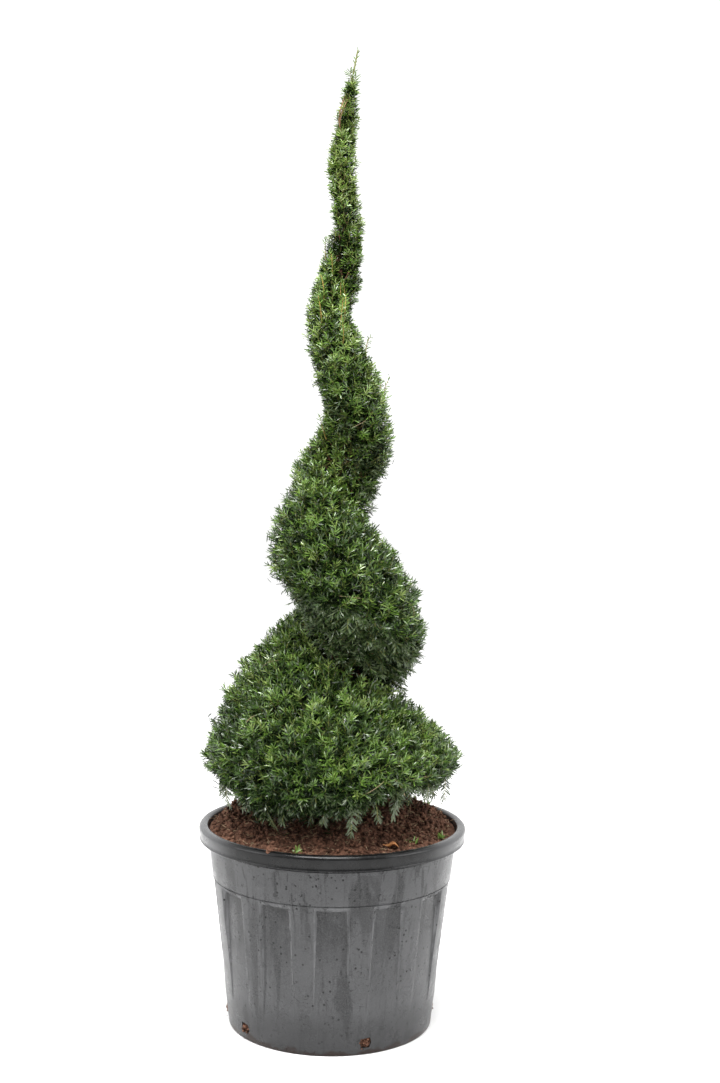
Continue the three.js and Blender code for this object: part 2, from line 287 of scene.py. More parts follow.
def mass_tree(corners):
    """A search tree of all those triangles and the trunk's."""
    every = np.concatenate([corners, node_triangles("trunk")])
    index = np.arange(len(every) * 3).reshape(-1, 3)
    return BVHTree.FromPolygons(every.reshape(-1, 3).tolist(), index.tolist())


def clearance(tree, points, normals, limit):
    """How far each point can see straight out before it meets another mass or the trunk, up to the limit."""
    starts = points + normals * 1e-4  # just clear of the surface itself
    hits = (tree.ray_cast(Vector(p), Vector(n), limit) for p, n in zip(starts, normals))
    return np.array([limit if hit[3] is None else hit[3] for hit in hits])


def clipped_surface(probe):
    """Triangles of the foliage that face open air, with their normals, and the search tree of all masses. A
    triangle is closed in if it sees less than the probe's length straight out."""
    corners = node_triangles(*FOLIAGE_NODES)
    tree = mass_tree(corners)
    normals = unit(np.cross(corners[:, 1] - corners[:, 0], corners[:, 2] - corners[:, 0]))
    is_open = clearance(tree, corners.mean(axis=1), normals, probe) >= probe
    if not is_open.any():
        raise RuntimeError("No part of the foliage faces open air, so nothing can grow")
    return corners[is_open], normals[is_open], tree


def scatter(corners, normals, count, rng):
    """Random points on the triangles, as many on each as its share of the area, with their normals: a
    corner plus two random shares of its two edges, folded back where they add up to more than one."""
    edges = corners[:, 1:] - corners[:, :1]
    areas = np.linalg.norm(np.cross(edges[:, 0], edges[:, 1]), axis=1)
    pick = rng.choice(len(corners), count, p=areas / areas.sum())
    shares = rng.random((count, 2))
    folded = shares.sum(axis=1) > 1
    shares[folded] = 1 - shares[folded]
    points = corners[pick, 0] + (edges[pick] * shares[:, :, None]).sum(axis=1)
    return points, normals[pick]


# ---------------------------------------------------------------- materials


class Shader:
    """A material's nodes, with one short call for each kind that the finishes use."""

    def __init__(self, name):
        self.material = bpy.data.materials.new(name)
        self.material.use_nodes = True
        self.tree = self.material.node_tree
        self.surface = self.tree.nodes["Principled BSDF"]
        self.place = self.tree.nodes.new("ShaderNodeTexCoord").outputs["Object"]

    def add(self, kind, **inputs):
        """A node of that kind. Each named input takes a value, or a link from another node's output."""
        node = self.tree.nodes.new(kind)
        for name, value in inputs.items():
            self.put(node.inputs[name.replace("_", " ")], value)
        return node

    def put(self, socket, value):
        """Sets the socket to the value, or links it if the value is another node's output."""
        if isinstance(value, bpy.types.NodeSocket):
            self.tree.links.new(value, socket)
        else:
            socket.default_value = value

    def stretched(self, scale):
        """The place on the object, scaled by that much along each axis."""
        return self.add("ShaderNodeMapping", Vector=self.place, Scale=scale).outputs["Vector"]

    def noise(self, scale, detail=3.0, roughness=0.5, distortion=0.0, vector=None):
        """Noise whose features are one over the scale, in metres."""
        settings = {"Scale": scale, "Detail": detail, "Roughness": roughness, "Distortion": distortion}
        return self.add("ShaderNodeTexNoise", Vector=vector or self.place, **settings).outputs["Fac"]

    def cells(self, scale):
        """Distance from the nearest of some scattered points, which lie about one over the scale apart."""
        return self.add("ShaderNodeTexVoronoi", Vector=self.place, Scale=scale).outputs["Distance"]

    def attribute(self, name):
        """A number that the mesh stores at its points."""
        node = self.tree.nodes.new("ShaderNodeAttribute")
        node.attribute_name = name
        return node.outputs["Fac"]

    def coordinate(self, axis):
        """The place along the X, Y or Z axis, in metres."""
        return self.add("ShaderNodeSeparateXYZ", Vector=self.place).outputs[axis]

    def height(self):
        """The height above the pot's underside, in metres."""
        return self.coordinate("Z")

    def step(self, value, low, high, start=0.0, end=1.0):
        """start where value is below low, end where it is above high, and smooth between them."""
        node = self.tree.nodes.new("ShaderNodeMapRange")
        node.interpolation_type = "SMOOTHSTEP"
        numbers = {"Value": value, "From Min": low, "From Max": high, "To Min": start, "To Max": end}
        for name, number in numbers.items():
            self.put(node.inputs[name], number)
        return node.outputs["Result"]

    def sum(self, first, second, operation="ADD"):
        """The two numbers added, or put together by another operation."""
        node = self.tree.nodes.new("ShaderNodeMath")
        node.operation = operation
        self.put(node.inputs[0], first)
        self.put(node.inputs[1], second)
        return node.outputs["Value"]

    def times(self, first, second):
        """The two numbers multiplied."""
        return self.sum(first, second, "MULTIPLY")

    def away(self, value, middle):
        """How far the number is from the middle one, either way."""
        return self.sum(self.sum(value, middle, "SUBTRACT"), 0.0, "ABSOLUTE")

    def mix(self, share, first, second):
        """The first colour, turned by that share into the second."""
        node = self.tree.nodes.new("ShaderNodeMix")
        node.data_type = "RGBA"
        self.put(node.inputs["Factor"], share)
        self.put(node.inputs["A"], first)
        self.put(node.inputs["B"], second)
        return node.outputs["Result"]

    def finish(self, colour, roughness, bump=None, strength=0.3, distance=0.001, specular=0.5):
        """Sets the surface, and returns the material."""
        self.put(self.surface.inputs["Base Color"], colour)
        self.put(self.surface.inputs["Roughness"], roughness)
        self.surface.inputs["Specular IOR Level"].default_value = specular
        if bump is not None:
            node = self.add("ShaderNodeBump", Height=bump, Strength=strength, Distance=distance)
            self.put(self.surface.inputs["Normal"], node.outputs["Normal"])
        return self.material


def shade(colour, factor):
    """That colour made lighter or darker, with full alpha."""
    return (*(min(1.0, part * factor) for part in colour[:3]), 1.0)


def pot_finish(look):
    """Weathered satin plastic. The sunk panel floors carry painted shade, darker than the ribs and darkest up
    under the ledge; the bevels and the ledge carry light lines that are partly wear and partly a painted
    highlight. Over that come dust, run marks, specks and scratches, and a damp, dirty foot. The rolled rim is
    cleaner, darker and smoother, and lighter grey at the left and right, a painted reflection of the side
    lights. The attribute "sunk" is 1 on a panel's floor, and "edge" is 1 along the middle of the bevels round
    it."""
    s = Shader("weathered_plastic")
    tone = {
        "ribs": 1.2, "shaded panels": 0.3, "edge wear and highlight": 3.3, "dust": 1.6, "runs": 0.4, "drips": 0.3, "grain": 2.2,
        "specks": 0.1, "scratches": 0.1, "damp": 0.6, "rim": 0.08, "dusty rim": 0.26, "rim side reflection": 1.7,
    }
    tone = {part: shade(look.plastic, factor) for part, factor in tone.items()}
    sunk, edge = s.attribute("sunk"), s.attribute("edge")
    # Painted shade: the sunk panel floors are much darker than the ribs, most of all up under the ledge.
    colour = s.mix(s.times(sunk, s.step(s.height(), 0.12, 0.31, 0.25, 1.0)), tone["ribs"], tone["shaded panels"])
    # Light lines along the bevels and the ledge: partly wear, partly a painted highlight.
    edge_wear_and_highlight = s.step(s.noise(30.0, 3.0), 0.3, 0.6, 0.35, 0.85)
    colour = s.mix(s.times(s.step(edge, 0.35, 0.85), edge_wear_and_highlight), colour, tone["edge wear and highlight"])
    dust = s.step(s.noise(9.0, 6.0, 0.65), 0.35, 0.7)
    colour = s.mix(s.times(dust, 0.55), colour, tone["dust"])
    wander = s.add("ShaderNodeMapping", Vector=s.place, Scale=(17.0, 17.0, 1.5), Rotation=(0.0, 0.12, 0.0))
    runs = s.step(s.noise(1.0, 5.0, 0.62, 1.2, wander.outputs["Vector"]), 0.5, 0.6)
    colour = s.mix(s.times(runs, 0.75), colour, tone["runs"])
    drips = s.step(s.noise(1.0, 3.0, 0.5, 0.5, s.stretched((75.0, 75.0, 4.5))), 0.57, 0.64)
    below = s.step(s.height(), 0.22, 0.38, 0.25, 0.9)
    colour = s.mix(s.times(drips, below), colour, tone["drips"])
    grain = s.step(s.noise(420.0, 3.0, 0.7), 0.4, 0.72, 0.0, 0.5)
    colour = s.mix(grain, colour, tone["grain"])
    specks = s.step(s.cells(62.0), 0.13, 0.18, 1.0, 0.0)
    patchy = s.step(s.noise(14.0, 3.0), 0.42, 0.5)
    colour = s.mix(s.times(specks, patchy), colour, tone["specks"])
    curled = s.noise(1.0, 2.0, 0.5, 2.6, s.stretched((26.0, 26.0, 21.0)))
    line = s.step(s.away(curled, 0.5), 0.003, 0.008, 1.0, 0.0)
    scratches = s.times(line, s.step(s.noise(11.0, 3.0), 0.42, 0.5))
    colour = s.mix(s.times(scratches, 0.9), colour, tone["scratches"])
    uneven_height = s.sum(s.height(), s.times(s.noise(22.0, 4.0, 0.6), 0.05))
    colour = s.mix(s.step(uneven_height, 0.07, 0.14, 0.6, 0.0), colour, tone["damp"])
    colour = s.mix(s.step(uneven_height, 0.029, 0.037, 0.9, 0.0), colour, shade(look.soil_dark, 0.2))
    on_rim = s.step(s.height(), RIM_FOOT - 0.0012, RIM_FOOT - 0.0004)
    rim = s.mix(s.step(s.noise(24.0, 5.0, 0.6), 0.35, 0.7), tone["rim"], tone["dusty rim"])
    # Painted reflection of the side lights: the rim is lighter grey at the left and right.
    rim = s.mix(s.step(s.away(s.coordinate("X"), 0.0), 0.19, 0.275), rim, tone["rim side reflection"])
    colour = s.mix(on_rim, colour, rim)
    satin = s.step(s.noise(30.0, 4.0, 0.6), 0.3, 0.7, look.gloss, look.gloss + 0.14)
    roughness = s.sum(satin, s.times(on_rim, 0.1), "SUBTRACT")
    bump = s.sum(s.noise(700.0, 3.0, 0.6), s.times(scratches, -0.6))
    return s.finish(colour, roughness, bump, 0.3, 0.0005, 0.22)


def soil_finish(name, look, lightness):
    """Moist peat: dark and reddish brown in clumps, with a fine crumb and pale flecks, lighter or darker."""
    s = Shader(name)
    clumps = s.step(s.noise(70.0, 6.0, 0.75), 0.42, 0.6)
    colour = s.mix(clumps, shade(look.soil_dark, lightness), shade(look.soil_red, lightness))
    flecks = s.step(s.noise(1.0, 2.0, 0.5, 1.5, s.stretched((900.0, 260.0, 500.0))), 0.66, 0.74)
    colour = s.mix(flecks, colour, shade(look.soil_red, 2.4 * lightness))
    bump = s.sum(s.noise(260.0, 5.0, 0.7), s.noise(900.0, 3.0, 0.6))
    return s.finish(colour, 0.88, bump, 0.8, 0.003, 0.15)


def bark_finish(name, colour, grain, green=None):
    """Bark or a twig's rind: long flakes of a lighter and a darker brown, rough, with fine relief. If a
    green colour is given, the bark turns into it over the last stretch below the trunk's top."""
    s = Shader(name)
    flakes = s.step(s.noise(1.0, 4.0, 0.6, 0.4, s.stretched((grain, grain, grain / 6))), 0.35, 0.65)
    tone = s.mix(flakes, shade(colour, 0.6), shade(colour, 1.3))
    if green is not None:
        tone = s.mix(s.step(s.height(), TRUNK_TOP - 0.3, TRUNK_TOP - 0.1), tone, shade(green, 1.0))
    return s.finish(tone, 0.8, flakes, 0.4, 0.001, 0.3)


def needle_finish(name, colour, gloss=0.6):
    """A tint of needle: waxy, mottled a little lighter and darker about its one colour."""
    s = Shader(name)
    mottle = s.step(s.noise(170.0, 2.0), 0.3, 0.7)
    tone = s.mix(mottle, shade(colour, 0.8), shade(colour, 1.22))
    return s.finish(tone, 0.31, s.noise(700.0, 1.0), 0.12, 0.0004, gloss)


def plain_finish(name, colour, scale):
    """A small dry thing such as a straw or a leaf, mottled at that scale."""
    s = Shader(name)
    tone = s.mix(s.noise(scale, 3.0), shade(colour, 0.65), shade(colour, 1.35))
    return s.finish(tone, 0.75, s.noise(scale * 2, 2.0), 0.3, 0.0005, 0.3)


# ---------------------------------------------------------------- pot

POT_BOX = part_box("nursery_pot")
RIM_RADIUS = POT_BOX[1].x
RIM_TOP = POT_BOX[1].z
RIM_FOOT = RIM_TOP - 0.0335
RIM_INNER = RIM_RADIUS - 0.020
FOOT_RADIUS = 0.2287  # of the ribs' outside at the pot's underside
FLARE = 0.119  # how much the wall's radius grows for each metre of height
WALL = 0.004
FLOOR_HUB = 0.12  # radius of the innermost ring of the pot's floor
PANELS = 13
PANEL_TURN = math.radians(1.2 - 90)  # where the middle of the first panel is
PANEL_HALF = math.radians(8.7)  # half a panel, with its bevels
BEVEL = math.radians(2.1)
PANEL_FOOT = 0.075  # height at which the panels start to sink
LEDGE_FOOT, LEDGE_TOP = 0.323, 0.336  # the sloped ledge over the panels
DRAIN_HEIGHT = 0.0276
DRAIN_SIZE = (0.0125, 0.0105)  # half its width and half its height
DRAIN_TURNS = np.radians(np.array([-87.5, -51.5, 20.5, 92.5, 128.5, 200.5]) - 90)


def wall_ring(z, inset, look):
    """One ring of the ribbed wall at a height: its radius grows with the height, and falls by the panel's
    depth over each panel. The depth runs out towards the foot and over the sloped ledge, and the bevels
    beside a panel narrow with it, so the ring's points move with the bevels' edges."""
    sunk = np.clip((z - PANEL_FOOT) / (LEDGE_FOOT - PANEL_FOOT), 0, 1)
    sunk *= 1 - np.clip((z - LEDGE_FOOT) / (LEDGE_TOP - LEDGE_FOOT), 0, 1)
    bevel = BEVEL * max(sunk, 0.15) if z < LEDGE_FOOT else BEVEL
    floor = PANEL_HALF - bevel
    rib = math.pi / PANELS
    stretches = [(0, floor, 5), (floor, PANEL_HALF, 6), (PANEL_HALF, rib, 4)]
    half = np.concatenate([np.linspace(start, end, steps + 1)[:-1] for start, end, steps in stretches])
    half = np.append(half, rib)
    module = np.concatenate([-half[::-1][:-1], half[:-1]])
    turns = (PANEL_TURN + 2 * rib * np.arange(PANELS)[:, None] + module).ravel()
    across = np.clip((PANEL_HALF - np.abs(np.tile(module, PANELS))) / bevel, 0, 1)
    share = sunk * lerp(across, smooth(0, 1, across), 0.7)
    up = np.clip((LEDGE_TOP - z) / (LEDGE_TOP - LEDGE_FOOT), 0, 1)
    edge = 4 * np.maximum(across * (1 - across) * min(1, 4 * sunk), up * (1 - up) * (across > 0.3))
    radius = FOOT_RADIUS + FLARE * z - look.panel_depth * share - inset
    return around(radius, turns, z), np.stack([share, edge], axis=1)


def round_ring(radius, z):
    """One plain ring with the wall's number of points."""
    wall, _ = wall_ring(LEDGE_TOP, 0, bpy.context.scene.topiary_pot)
    turns = np.arctan2(wall[:, 1], wall[:, 0])
    return around(radius, turns, z), np.zeros((len(turns), 2))


def arc(centre, radius, start, end, steps):
    """(radius, height) points on an arc of the profile, from one angle to another in degrees."""
    turn = np.radians(np.linspace(start, end, steps))
    return [(centre[0] + radius * c, centre[1] + radius * s) for c, s in zip(np.cos(turn), np.sin(turn))]


def drain_cutters(look):
    """Solids that cut the drain holes: a ragged prism laid along the radius of each hole, through the wall.
    Its sides follow an oval whose cosine and sine are raised to a power below one, which squares it off."""
    rng = np.random.default_rng(look.seed)
    sides, squareness, reach = 10, 0.4, 0.012
    spin = np.arange(sides) * 2 * math.pi / sides
    oval = [np.sign(wave) * np.abs(wave) ** squareness for wave in (np.cos(spin), np.sin(spin))]
    rings = []
    for turn in DRAIN_TURNS:
        ragged = rng.uniform(0.86, 1.16, len(spin))
        across = DRAIN_SIZE[0] * ragged * oval[0]
        above = DRAIN_HEIGHT + DRAIN_SIZE[1] * ragged * oval[1]
        out = np.array([math.cos(turn), math.sin(turn), 0])
        side = np.array([-math.sin(turn), math.cos(turn), 0])
        loop = across[:, None] * side + above[:, None] * UP
        radius = FOOT_RADIUS + FLARE * DRAIN_HEIGHT
        rings.append(np.stack([loop + (radius - reach) * out, loop + (radius + reach) * out]))
    solids = [closed_surface(ring) for ring in rings]
    offsets = np.cumsum([0] + [len(points) for points, _ in solids[:-1]])
    faces = np.concatenate([triangles + offset for (_, triangles), offset in zip(solids, offsets)])
    return np.concatenate([points for points, _ in solids]), faces


def pot_shell(look):
    """The pot as one closed shell. Its profile runs from the underside up the ribbed wall, out under the
    rolled rim and over it, down the inside and across the floor, and is carried round the axis."""
    low = np.concatenate([np.linspace(0.003, PANEL_FOOT, 6), np.linspace(0.1, LEDGE_FOOT, 12)])
    ledge = np.linspace(LEDGE_FOOT + 0.002, LEDGE_TOP, 5)
    collar, collar_top = RIM_FOOT - 0.014, RIM_FOOT - 0.007
    high = [LEDGE_TOP + 0.001, LEDGE_TOP + 0.003, 0.36, 0.39, collar - 0.0008, collar, collar_top]
    high += [collar_top + 0.0008, RIM_FOOT]
    foot = [(FLOOR_HUB, 0.0), (FOOT_RADIUS - 0.004, 0.0), (FOOT_RADIUS - 0.001, 0.001)]
    rows = [round_ring(*point) for point in foot]
    rows += [wall_ring(z, 0, look) for z in (*low, *ledge)]
    creased = {LEDGE_TOP + 0.001: 0.0014, collar: -0.0022, collar_top: -0.0022}
    rows += [wall_ring(z, creased.get(z, 0), look) for z in high]
    lip = 0.0022
    outer = RIM_RADIUS - 0.0012
    profile = [(outer - 0.004, RIM_FOOT + 0.001), (outer - 0.0025, RIM_FOOT)]
    profile += arc((outer - lip, RIM_FOOT + lip), lip, -60, 40, 5)
    profile += [(outer - 0.0012, RIM_FOOT + 0.0055), (outer - 0.0004, RIM_FOOT + 0.011)]
    profile += arc((RIM_RADIUS - 0.009, RIM_TOP - 0.009), 0.009, 0, 90, 9)
    profile += arc((RIM_INNER + 0.006, RIM_TOP - 0.006), 0.006, 90, 180, 6)
    profile += [(RIM_INNER - 0.001, RIM_TOP - 0.014)]
    rows += [round_ring(*point) for point in profile]
    inside = np.concatenate([np.linspace(0.42, LEDGE_TOP, 3), ledge[::-1][1:], low[::-1][:-2]])
    rows += [wall_ring(z, WALL, look) for z in inside]
    rows += [round_ring(FOOT_RADIUS - 0.006, WALL), round_ring(FLOOR_HUB, WALL)]
    rings, shares = (np.stack(part) for part in zip(*rows))
    return *closed_surface(rings), np.concatenate([shares.reshape(-1, 2), np.zeros((2, 2))])


def build_pot(look):
    """The pot, with its drain holes cut, in place of its node."""
    points, faces, shares = pot_shell(look)
    piece = add_piece("pot_shell", points, faces, pot_finish(look), "pot_plastic", ["nursery_pot"])
    for name, values in zip(("sunk", "edge"), shares.T.astype(np.float32)):
        attribute = piece.data.attributes.new(name, "FLOAT", "POINT")
        attribute.data.foreach_set("value", np.ascontiguousarray(values))
    cutter_points, cutter_faces = drain_cutters(look)
    cutter = bpy.data.meshes.new("drain_cutter")
    cutter.from_pydata(cutter_points.tolist(), [], cutter_faces.tolist())
    tool = bpy.data.objects.new("drain_cutter", cutter)
    bpy.context.scene.collection.objects.link(tool)
    cut = piece.modifiers.new("drain_holes", "BOOLEAN")
    cut.operation, cut.object, cut.solver = "DIFFERENCE", tool, "EXACT"
    graph = bpy.context.evaluated_depsgraph_get()
    finished = bpy.data.meshes.new_from_object(piece.evaluated_get(graph))
    piece.modifiers.clear()
    bpy.data.objects.remove(tool)
    piece.data = finished
    finished.shade_smooth()
    finished.set_sharp_from_angle(angle=math.radians(32))
    return piece


# ---------------------------------------------------------------- soil

SOIL_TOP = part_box("soil")[1].z
SOIL_EDGE = RIM_TOP - 0.0135
SOIL_REACH = FOOT_RADIUS + FLARE * SOIL_EDGE - WALL - 0.0004
SOIL_HEAPS = np.radians([20.0, 165.0])
HEAP_HEIGHT = 0.030
LEAF_PLACE = np.array([0.128, -0.2])


def soil_height(x, y, look):
    """Height of the soil: highest at the trunk and falling with the square of the radius to the edge, with
    two low heaps near the wall, and roughened by clods of three sizes that die out against the wall."""
    share = np.clip(np.hypot(x, y) / SOIL_REACH, 0, 1)
    turn = np.arctan2(y, x)
    heap = sum(np.clip(np.cos(turn - at), 0, None) ** 4 for at in SOIL_HEAPS) * HEAP_HEIGHT
    heap = heap * np.clip(share**2, 0, 0.72) * (1 - smooth(0.8, 1, share))
    base = lerp(SOIL_TOP - 0.002, SOIL_EDGE, share**2) + heap
    at = np.stack([x, y, np.zeros_like(x)], axis=-1)
    clods = 0.006 * lattice_noise(at, 0.035, 1) + 0.0045 * np.abs(lattice_noise(at, 0.013, 2))
    clods += 0.0026 * np.abs(lattice_noise(at, 0.006, 3))
    return base + look.soil_relief * clods * (1 - 0.6 * smooth(0.92, 1.0, share))


def soil_places(count, rng):
    """Random places on top of the soil, even over its area, up to a little short of the wall."""
    furthest = 0.97  # as a share of the soil's reach
    radius = SOIL_REACH * np.sqrt(rng.uniform(0.0, furthest**2, count))
    turn = rng.uniform(0, 2 * math.pi, count)
    return np.stack([radius * np.cos(turn), radius * np.sin(turn)], axis=1)


def on_soil(places, look, lift=0.0):
    """Those places on top of the soil, lifted clear of it by that much."""
    return np.column_stack([places, soil_height(places[:, 0], places[:, 1], look) + lift])


def build_soil(look):
    """The soil as one closed solid: its rough top, and its side down the inside of the pot to the floor."""
    turns = np.linspace(0, 2 * math.pi, 300, endpoint=False)
    shares = np.concatenate([np.linspace(0.02, 0.9, 70), np.linspace(0.91, 1, 12)])
    radii = shares[::-1, None] * SOIL_REACH
    x, y = radii * np.cos(turns), radii * np.sin(turns)
    top = np.stack([x, y, soil_height(x, y, look)], axis=-1)
    side_heights = np.array([WALL + 0.001, PANEL_FOOT, LEDGE_FOOT, LEDGE_TOP, SOIL_EDGE - 0.006])
    side_radii = FOOT_RADIUS + FLARE * side_heights - WALL - 0.0006 - look.panel_depth * (side_heights > 0.2)
    side_radii[-1] += look.panel_depth
    side = around(side_radii[:, None], turns, side_heights[:, None])
    points, faces = closed_surface(np.concatenate([side, top]))
    finish = soil_finish("moist_peat", look, 1.0)
    add_piece("soil_bed", points, faces, finish, "soil", ["soil"], smooth_angle=math.radians(50))


def build_litter(look):
    """Loose things on the soil: crumbs, pale fibres, a few seedlings and one fallen leaf."""
    rng = np.random.default_rng(look.seed + 1)
    build_crumbs(look, rng)
    build_fibres(look, rng)
    build_seedlings(look, rng)
    build_fallen_leaf(look)


def build_crumbs(look, rng):
    """Crumbs of peat in two tones, mostly small, half sunk in the soil, and with them the stray ones."""
    tones = {"peat_crumbs_red": 1.1, "peat_crumbs_dark": 0.75}
    for name, lightness in tones.items():
        places = soil_places(5200, rng)
        sizes = 0.0013 + 0.0055 * rng.random(len(places)) ** 4
        centres = on_soil(places, look, 0.4 * sizes)
        if name == "peat_crumbs_red":
            extra, extra_sizes = stray_crumbs(look, rng)
            centres, sizes = np.concatenate([centres, extra]), np.concatenate([sizes, extra_sizes])
        points, faces = lumps(centres, sizes, rng)
        add_piece(name, points, faces, soil_finish(name, look, lightness), "soil")


def build_fibres(look, rng):
    """Straws that lie on the soil every way round, each bent a little at its middle."""
    places = soil_places(1100, rng)
    count, stations = len(places), 4
    lengths = rng.uniform(0.005, 0.018, count)
    turn = rng.uniform(0, 2 * math.pi, count)
    lie = around(1.0, turn, rng.uniform(-0.25, 0.45, count))
    start = on_soil(places, look, 0.0025)
    end = start + unit(lie) * lengths[:, None]
    middle = (start + end) / 2 + rng.normal(0, 0.0015, start.shape)
    paths = bend(start, middle, end, np.broadcast_to(np.linspace(0, 1, stations), (count, stations)))
    radii = np.outer(rng.uniform(0.0003, 0.0007, count), [0.7, 1, 1, 0.5])
    points, faces = tubes(paths, radii, 3)
    add_piece("pale_fibres", points, faces, plain_finish("dry_straw", look.straw, 300.0), "soil")


def stray_crumbs(look, rng):
    """Crumbs that cling to the drain holes, and a clod of them that lies over the rolled rim."""
    in_hole, in_clod = 34, 44
    turns = np.repeat(DRAIN_TURNS, in_hole) + rng.normal(0, 0.026, in_hole * len(DRAIN_TURNS))
    radius = FOOT_RADIUS + FLARE * DRAIN_HEIGHT + rng.uniform(-0.006, 0.002, len(turns))
    z = DRAIN_HEIGHT + rng.normal(-0.001, 0.0055, len(turns))
    holes = around(radius, turns, z)
    turn = math.radians(look.clod_turn - 90) + rng.normal(0, 0.010, in_clod)
    radius = RIM_RADIUS - rng.uniform(0.001, 0.026, in_clod)
    roll = 9.0 * np.clip(radius - RIM_RADIUS + 0.009, 0, None) ** 1.6  # how far the rim has rolled down
    clod = around(radius, turn, RIM_TOP - roll + rng.uniform(0, 0.003, in_clod))
    sizes = np.concatenate([rng.uniform(0.0015, 0.0042, len(holes)), rng.uniform(0.0012, 0.003, in_clod)])
    return np.concatenate([holes, clod]), sizes


def build_seedlings(look, rng):
    """Weed seedlings near the rim: upright blades that lean out from each seedling's root."""
    turns = np.radians(np.array([-16.0, 46.0, 69.0, 120.0, 215.0]) - 90)
    shares = np.array([0.93, 0.88, 0.93, 0.9, 0.9])[:, None]
    roots = np.column_stack([np.cos(turns), np.sin(turns)]) * SOIL_REACH * shares
    blades = 14
    root = np.repeat(on_soil(roots, look), blades, axis=0)
    root[:, :2] += rng.normal(0, 0.004, (len(root), 2))
    lean = unit(np.column_stack([rng.normal(0, 0.8, (len(root), 2)), np.ones(len(root))]))
    facing = rng.normal(size=root.shape)
    length = rng.uniform(0.009, 0.022, len(root))
    mesh = blades_mesh(root, lean, facing, length, width=0.0032, droop=0.3)
    add_piece("seedlings", *mesh, needle_finish("seedling_green", look.seedling), "soil")


def build_fallen_leaf(look):
    """A dry leaf on the soil at the front: an oval sheet, cupped along its length, with two faces."""
    rows, columns, thickness = 9, 7, 0.0006
    half_length, half_width, cup, wave = 0.017, 0.011, 0.005, 0.003
    u, v = np.meshgrid(np.linspace(-1, 1, rows), np.linspace(-1, 1, columns), indexing="ij")
    across = np.sqrt(np.clip(1 - u**2, 0.02, 1)) * v
    x, y = LEAF_PLACE[0] + half_length * u, LEAF_PLACE[1] + half_width * across
    ground = soil_height(*LEAF_PLACE[:, None, None], look) + 0.006
    sheet = np.stack([x, y, ground + cup * across**2 + wave * np.sin(4 * u)], axis=-1).reshape(-1, 3)
    points = np.concatenate([sheet, sheet - thickness * UP])
    quads = grid_quads(rows, columns, closed=False)
    faces = np.concatenate([quads, quads[:, ::-1] + rows * columns])
    add_piece("fallen_leaf", points, faces, plain_finish("dry_leaf", look.dry_leaf, 180.0), "soil")


# ---------------------------------------------------------------- growth

BLADE_ALONG = np.array([0, 0.15, 0.15, 0.7, 0.7, 1.0])  # the outline of a needle, in shares of its length
BLADE_ACROSS = np.array([0, -0.42, 0.42, -0.5, 0.5, 0])  # and of its width
BLADE_FACES = np.array([[0, 2, 1], [1, 2, 4], [1, 4, 3], [3, 4, 5]])
GLOSS = {"young": 0.7, "fresh": 0.85, "leaf": 0.85, "deep": 0.1, "dull": 0.45}  # of each tint of needle
YOUNG, FRESH_AND_LIT, LEAF, DEEP_SHADE, DULL = range(len(GLOSS))
BARE_OF_SHOOTS, BARE_OF_INNER, BARE_OF_BOUGHS = 0.07, 0.15, 0.16  # last stretches of the trunk without them
LEADER = 0.15  # the trunk's last stretch, which has needles of its own
INNER_NEEDLES = 20  # on each shaded shoot


def blades_mesh(root, direction, facing, length, width, droop):
    """Points and triangles of flat needles. Each outline runs from a point at the root to full width, on
    with straight sides, and to a point at the tip. Its upper face is turned as nearly as it can be towards
    facing, and the needle droops away from it with the square of the length."""
    side = unit(np.cross(direction, np.broadcast_to(facing, direction.shape)))
    face = np.cross(side, direction)
    length, width = np.broadcast_to(length, len(root)), np.broadcast_to(width, len(root))
    run = BLADE_ALONG * length[:, None]
    points = (
        root[:, None]
        + run[:, :, None] * direction[:, None]
        + (BLADE_ACROSS * width[:, None])[:, :, None] * side[:, None]
        - (droop * BLADE_ALONG**2 * length[:, None])[:, :, None] * face[:, None]
    )
    offset = np.arange(len(root))[:, None, None] * len(BLADE_ALONG)
    return points.reshape(-1, 3), (BLADE_FACES[None] + offset).reshape(-1, 3)


def shoot_set(curve, length, thick, out=UP, flat=0.0, under=0.0, slim=1.0):
    """Shoots on curves from a start past a middle to an end, with their needled length and their thickness,
    the way the surface faces there, and three shares: how flat the shoot is, how far the surface there looks
    down, and how slim the plant is there."""
    count = len(curve[2])
    shares = {"length": length, "thick": thick, "flat": flat, "under": under, "slim": slim}
    shares = {name: np.broadcast_to(value, count) for name, value in shares.items()}
    return dict(zip(("start", "middle", "end"), curve)) | {"out": np.broadcast_to(out, (count, 3))} | shares


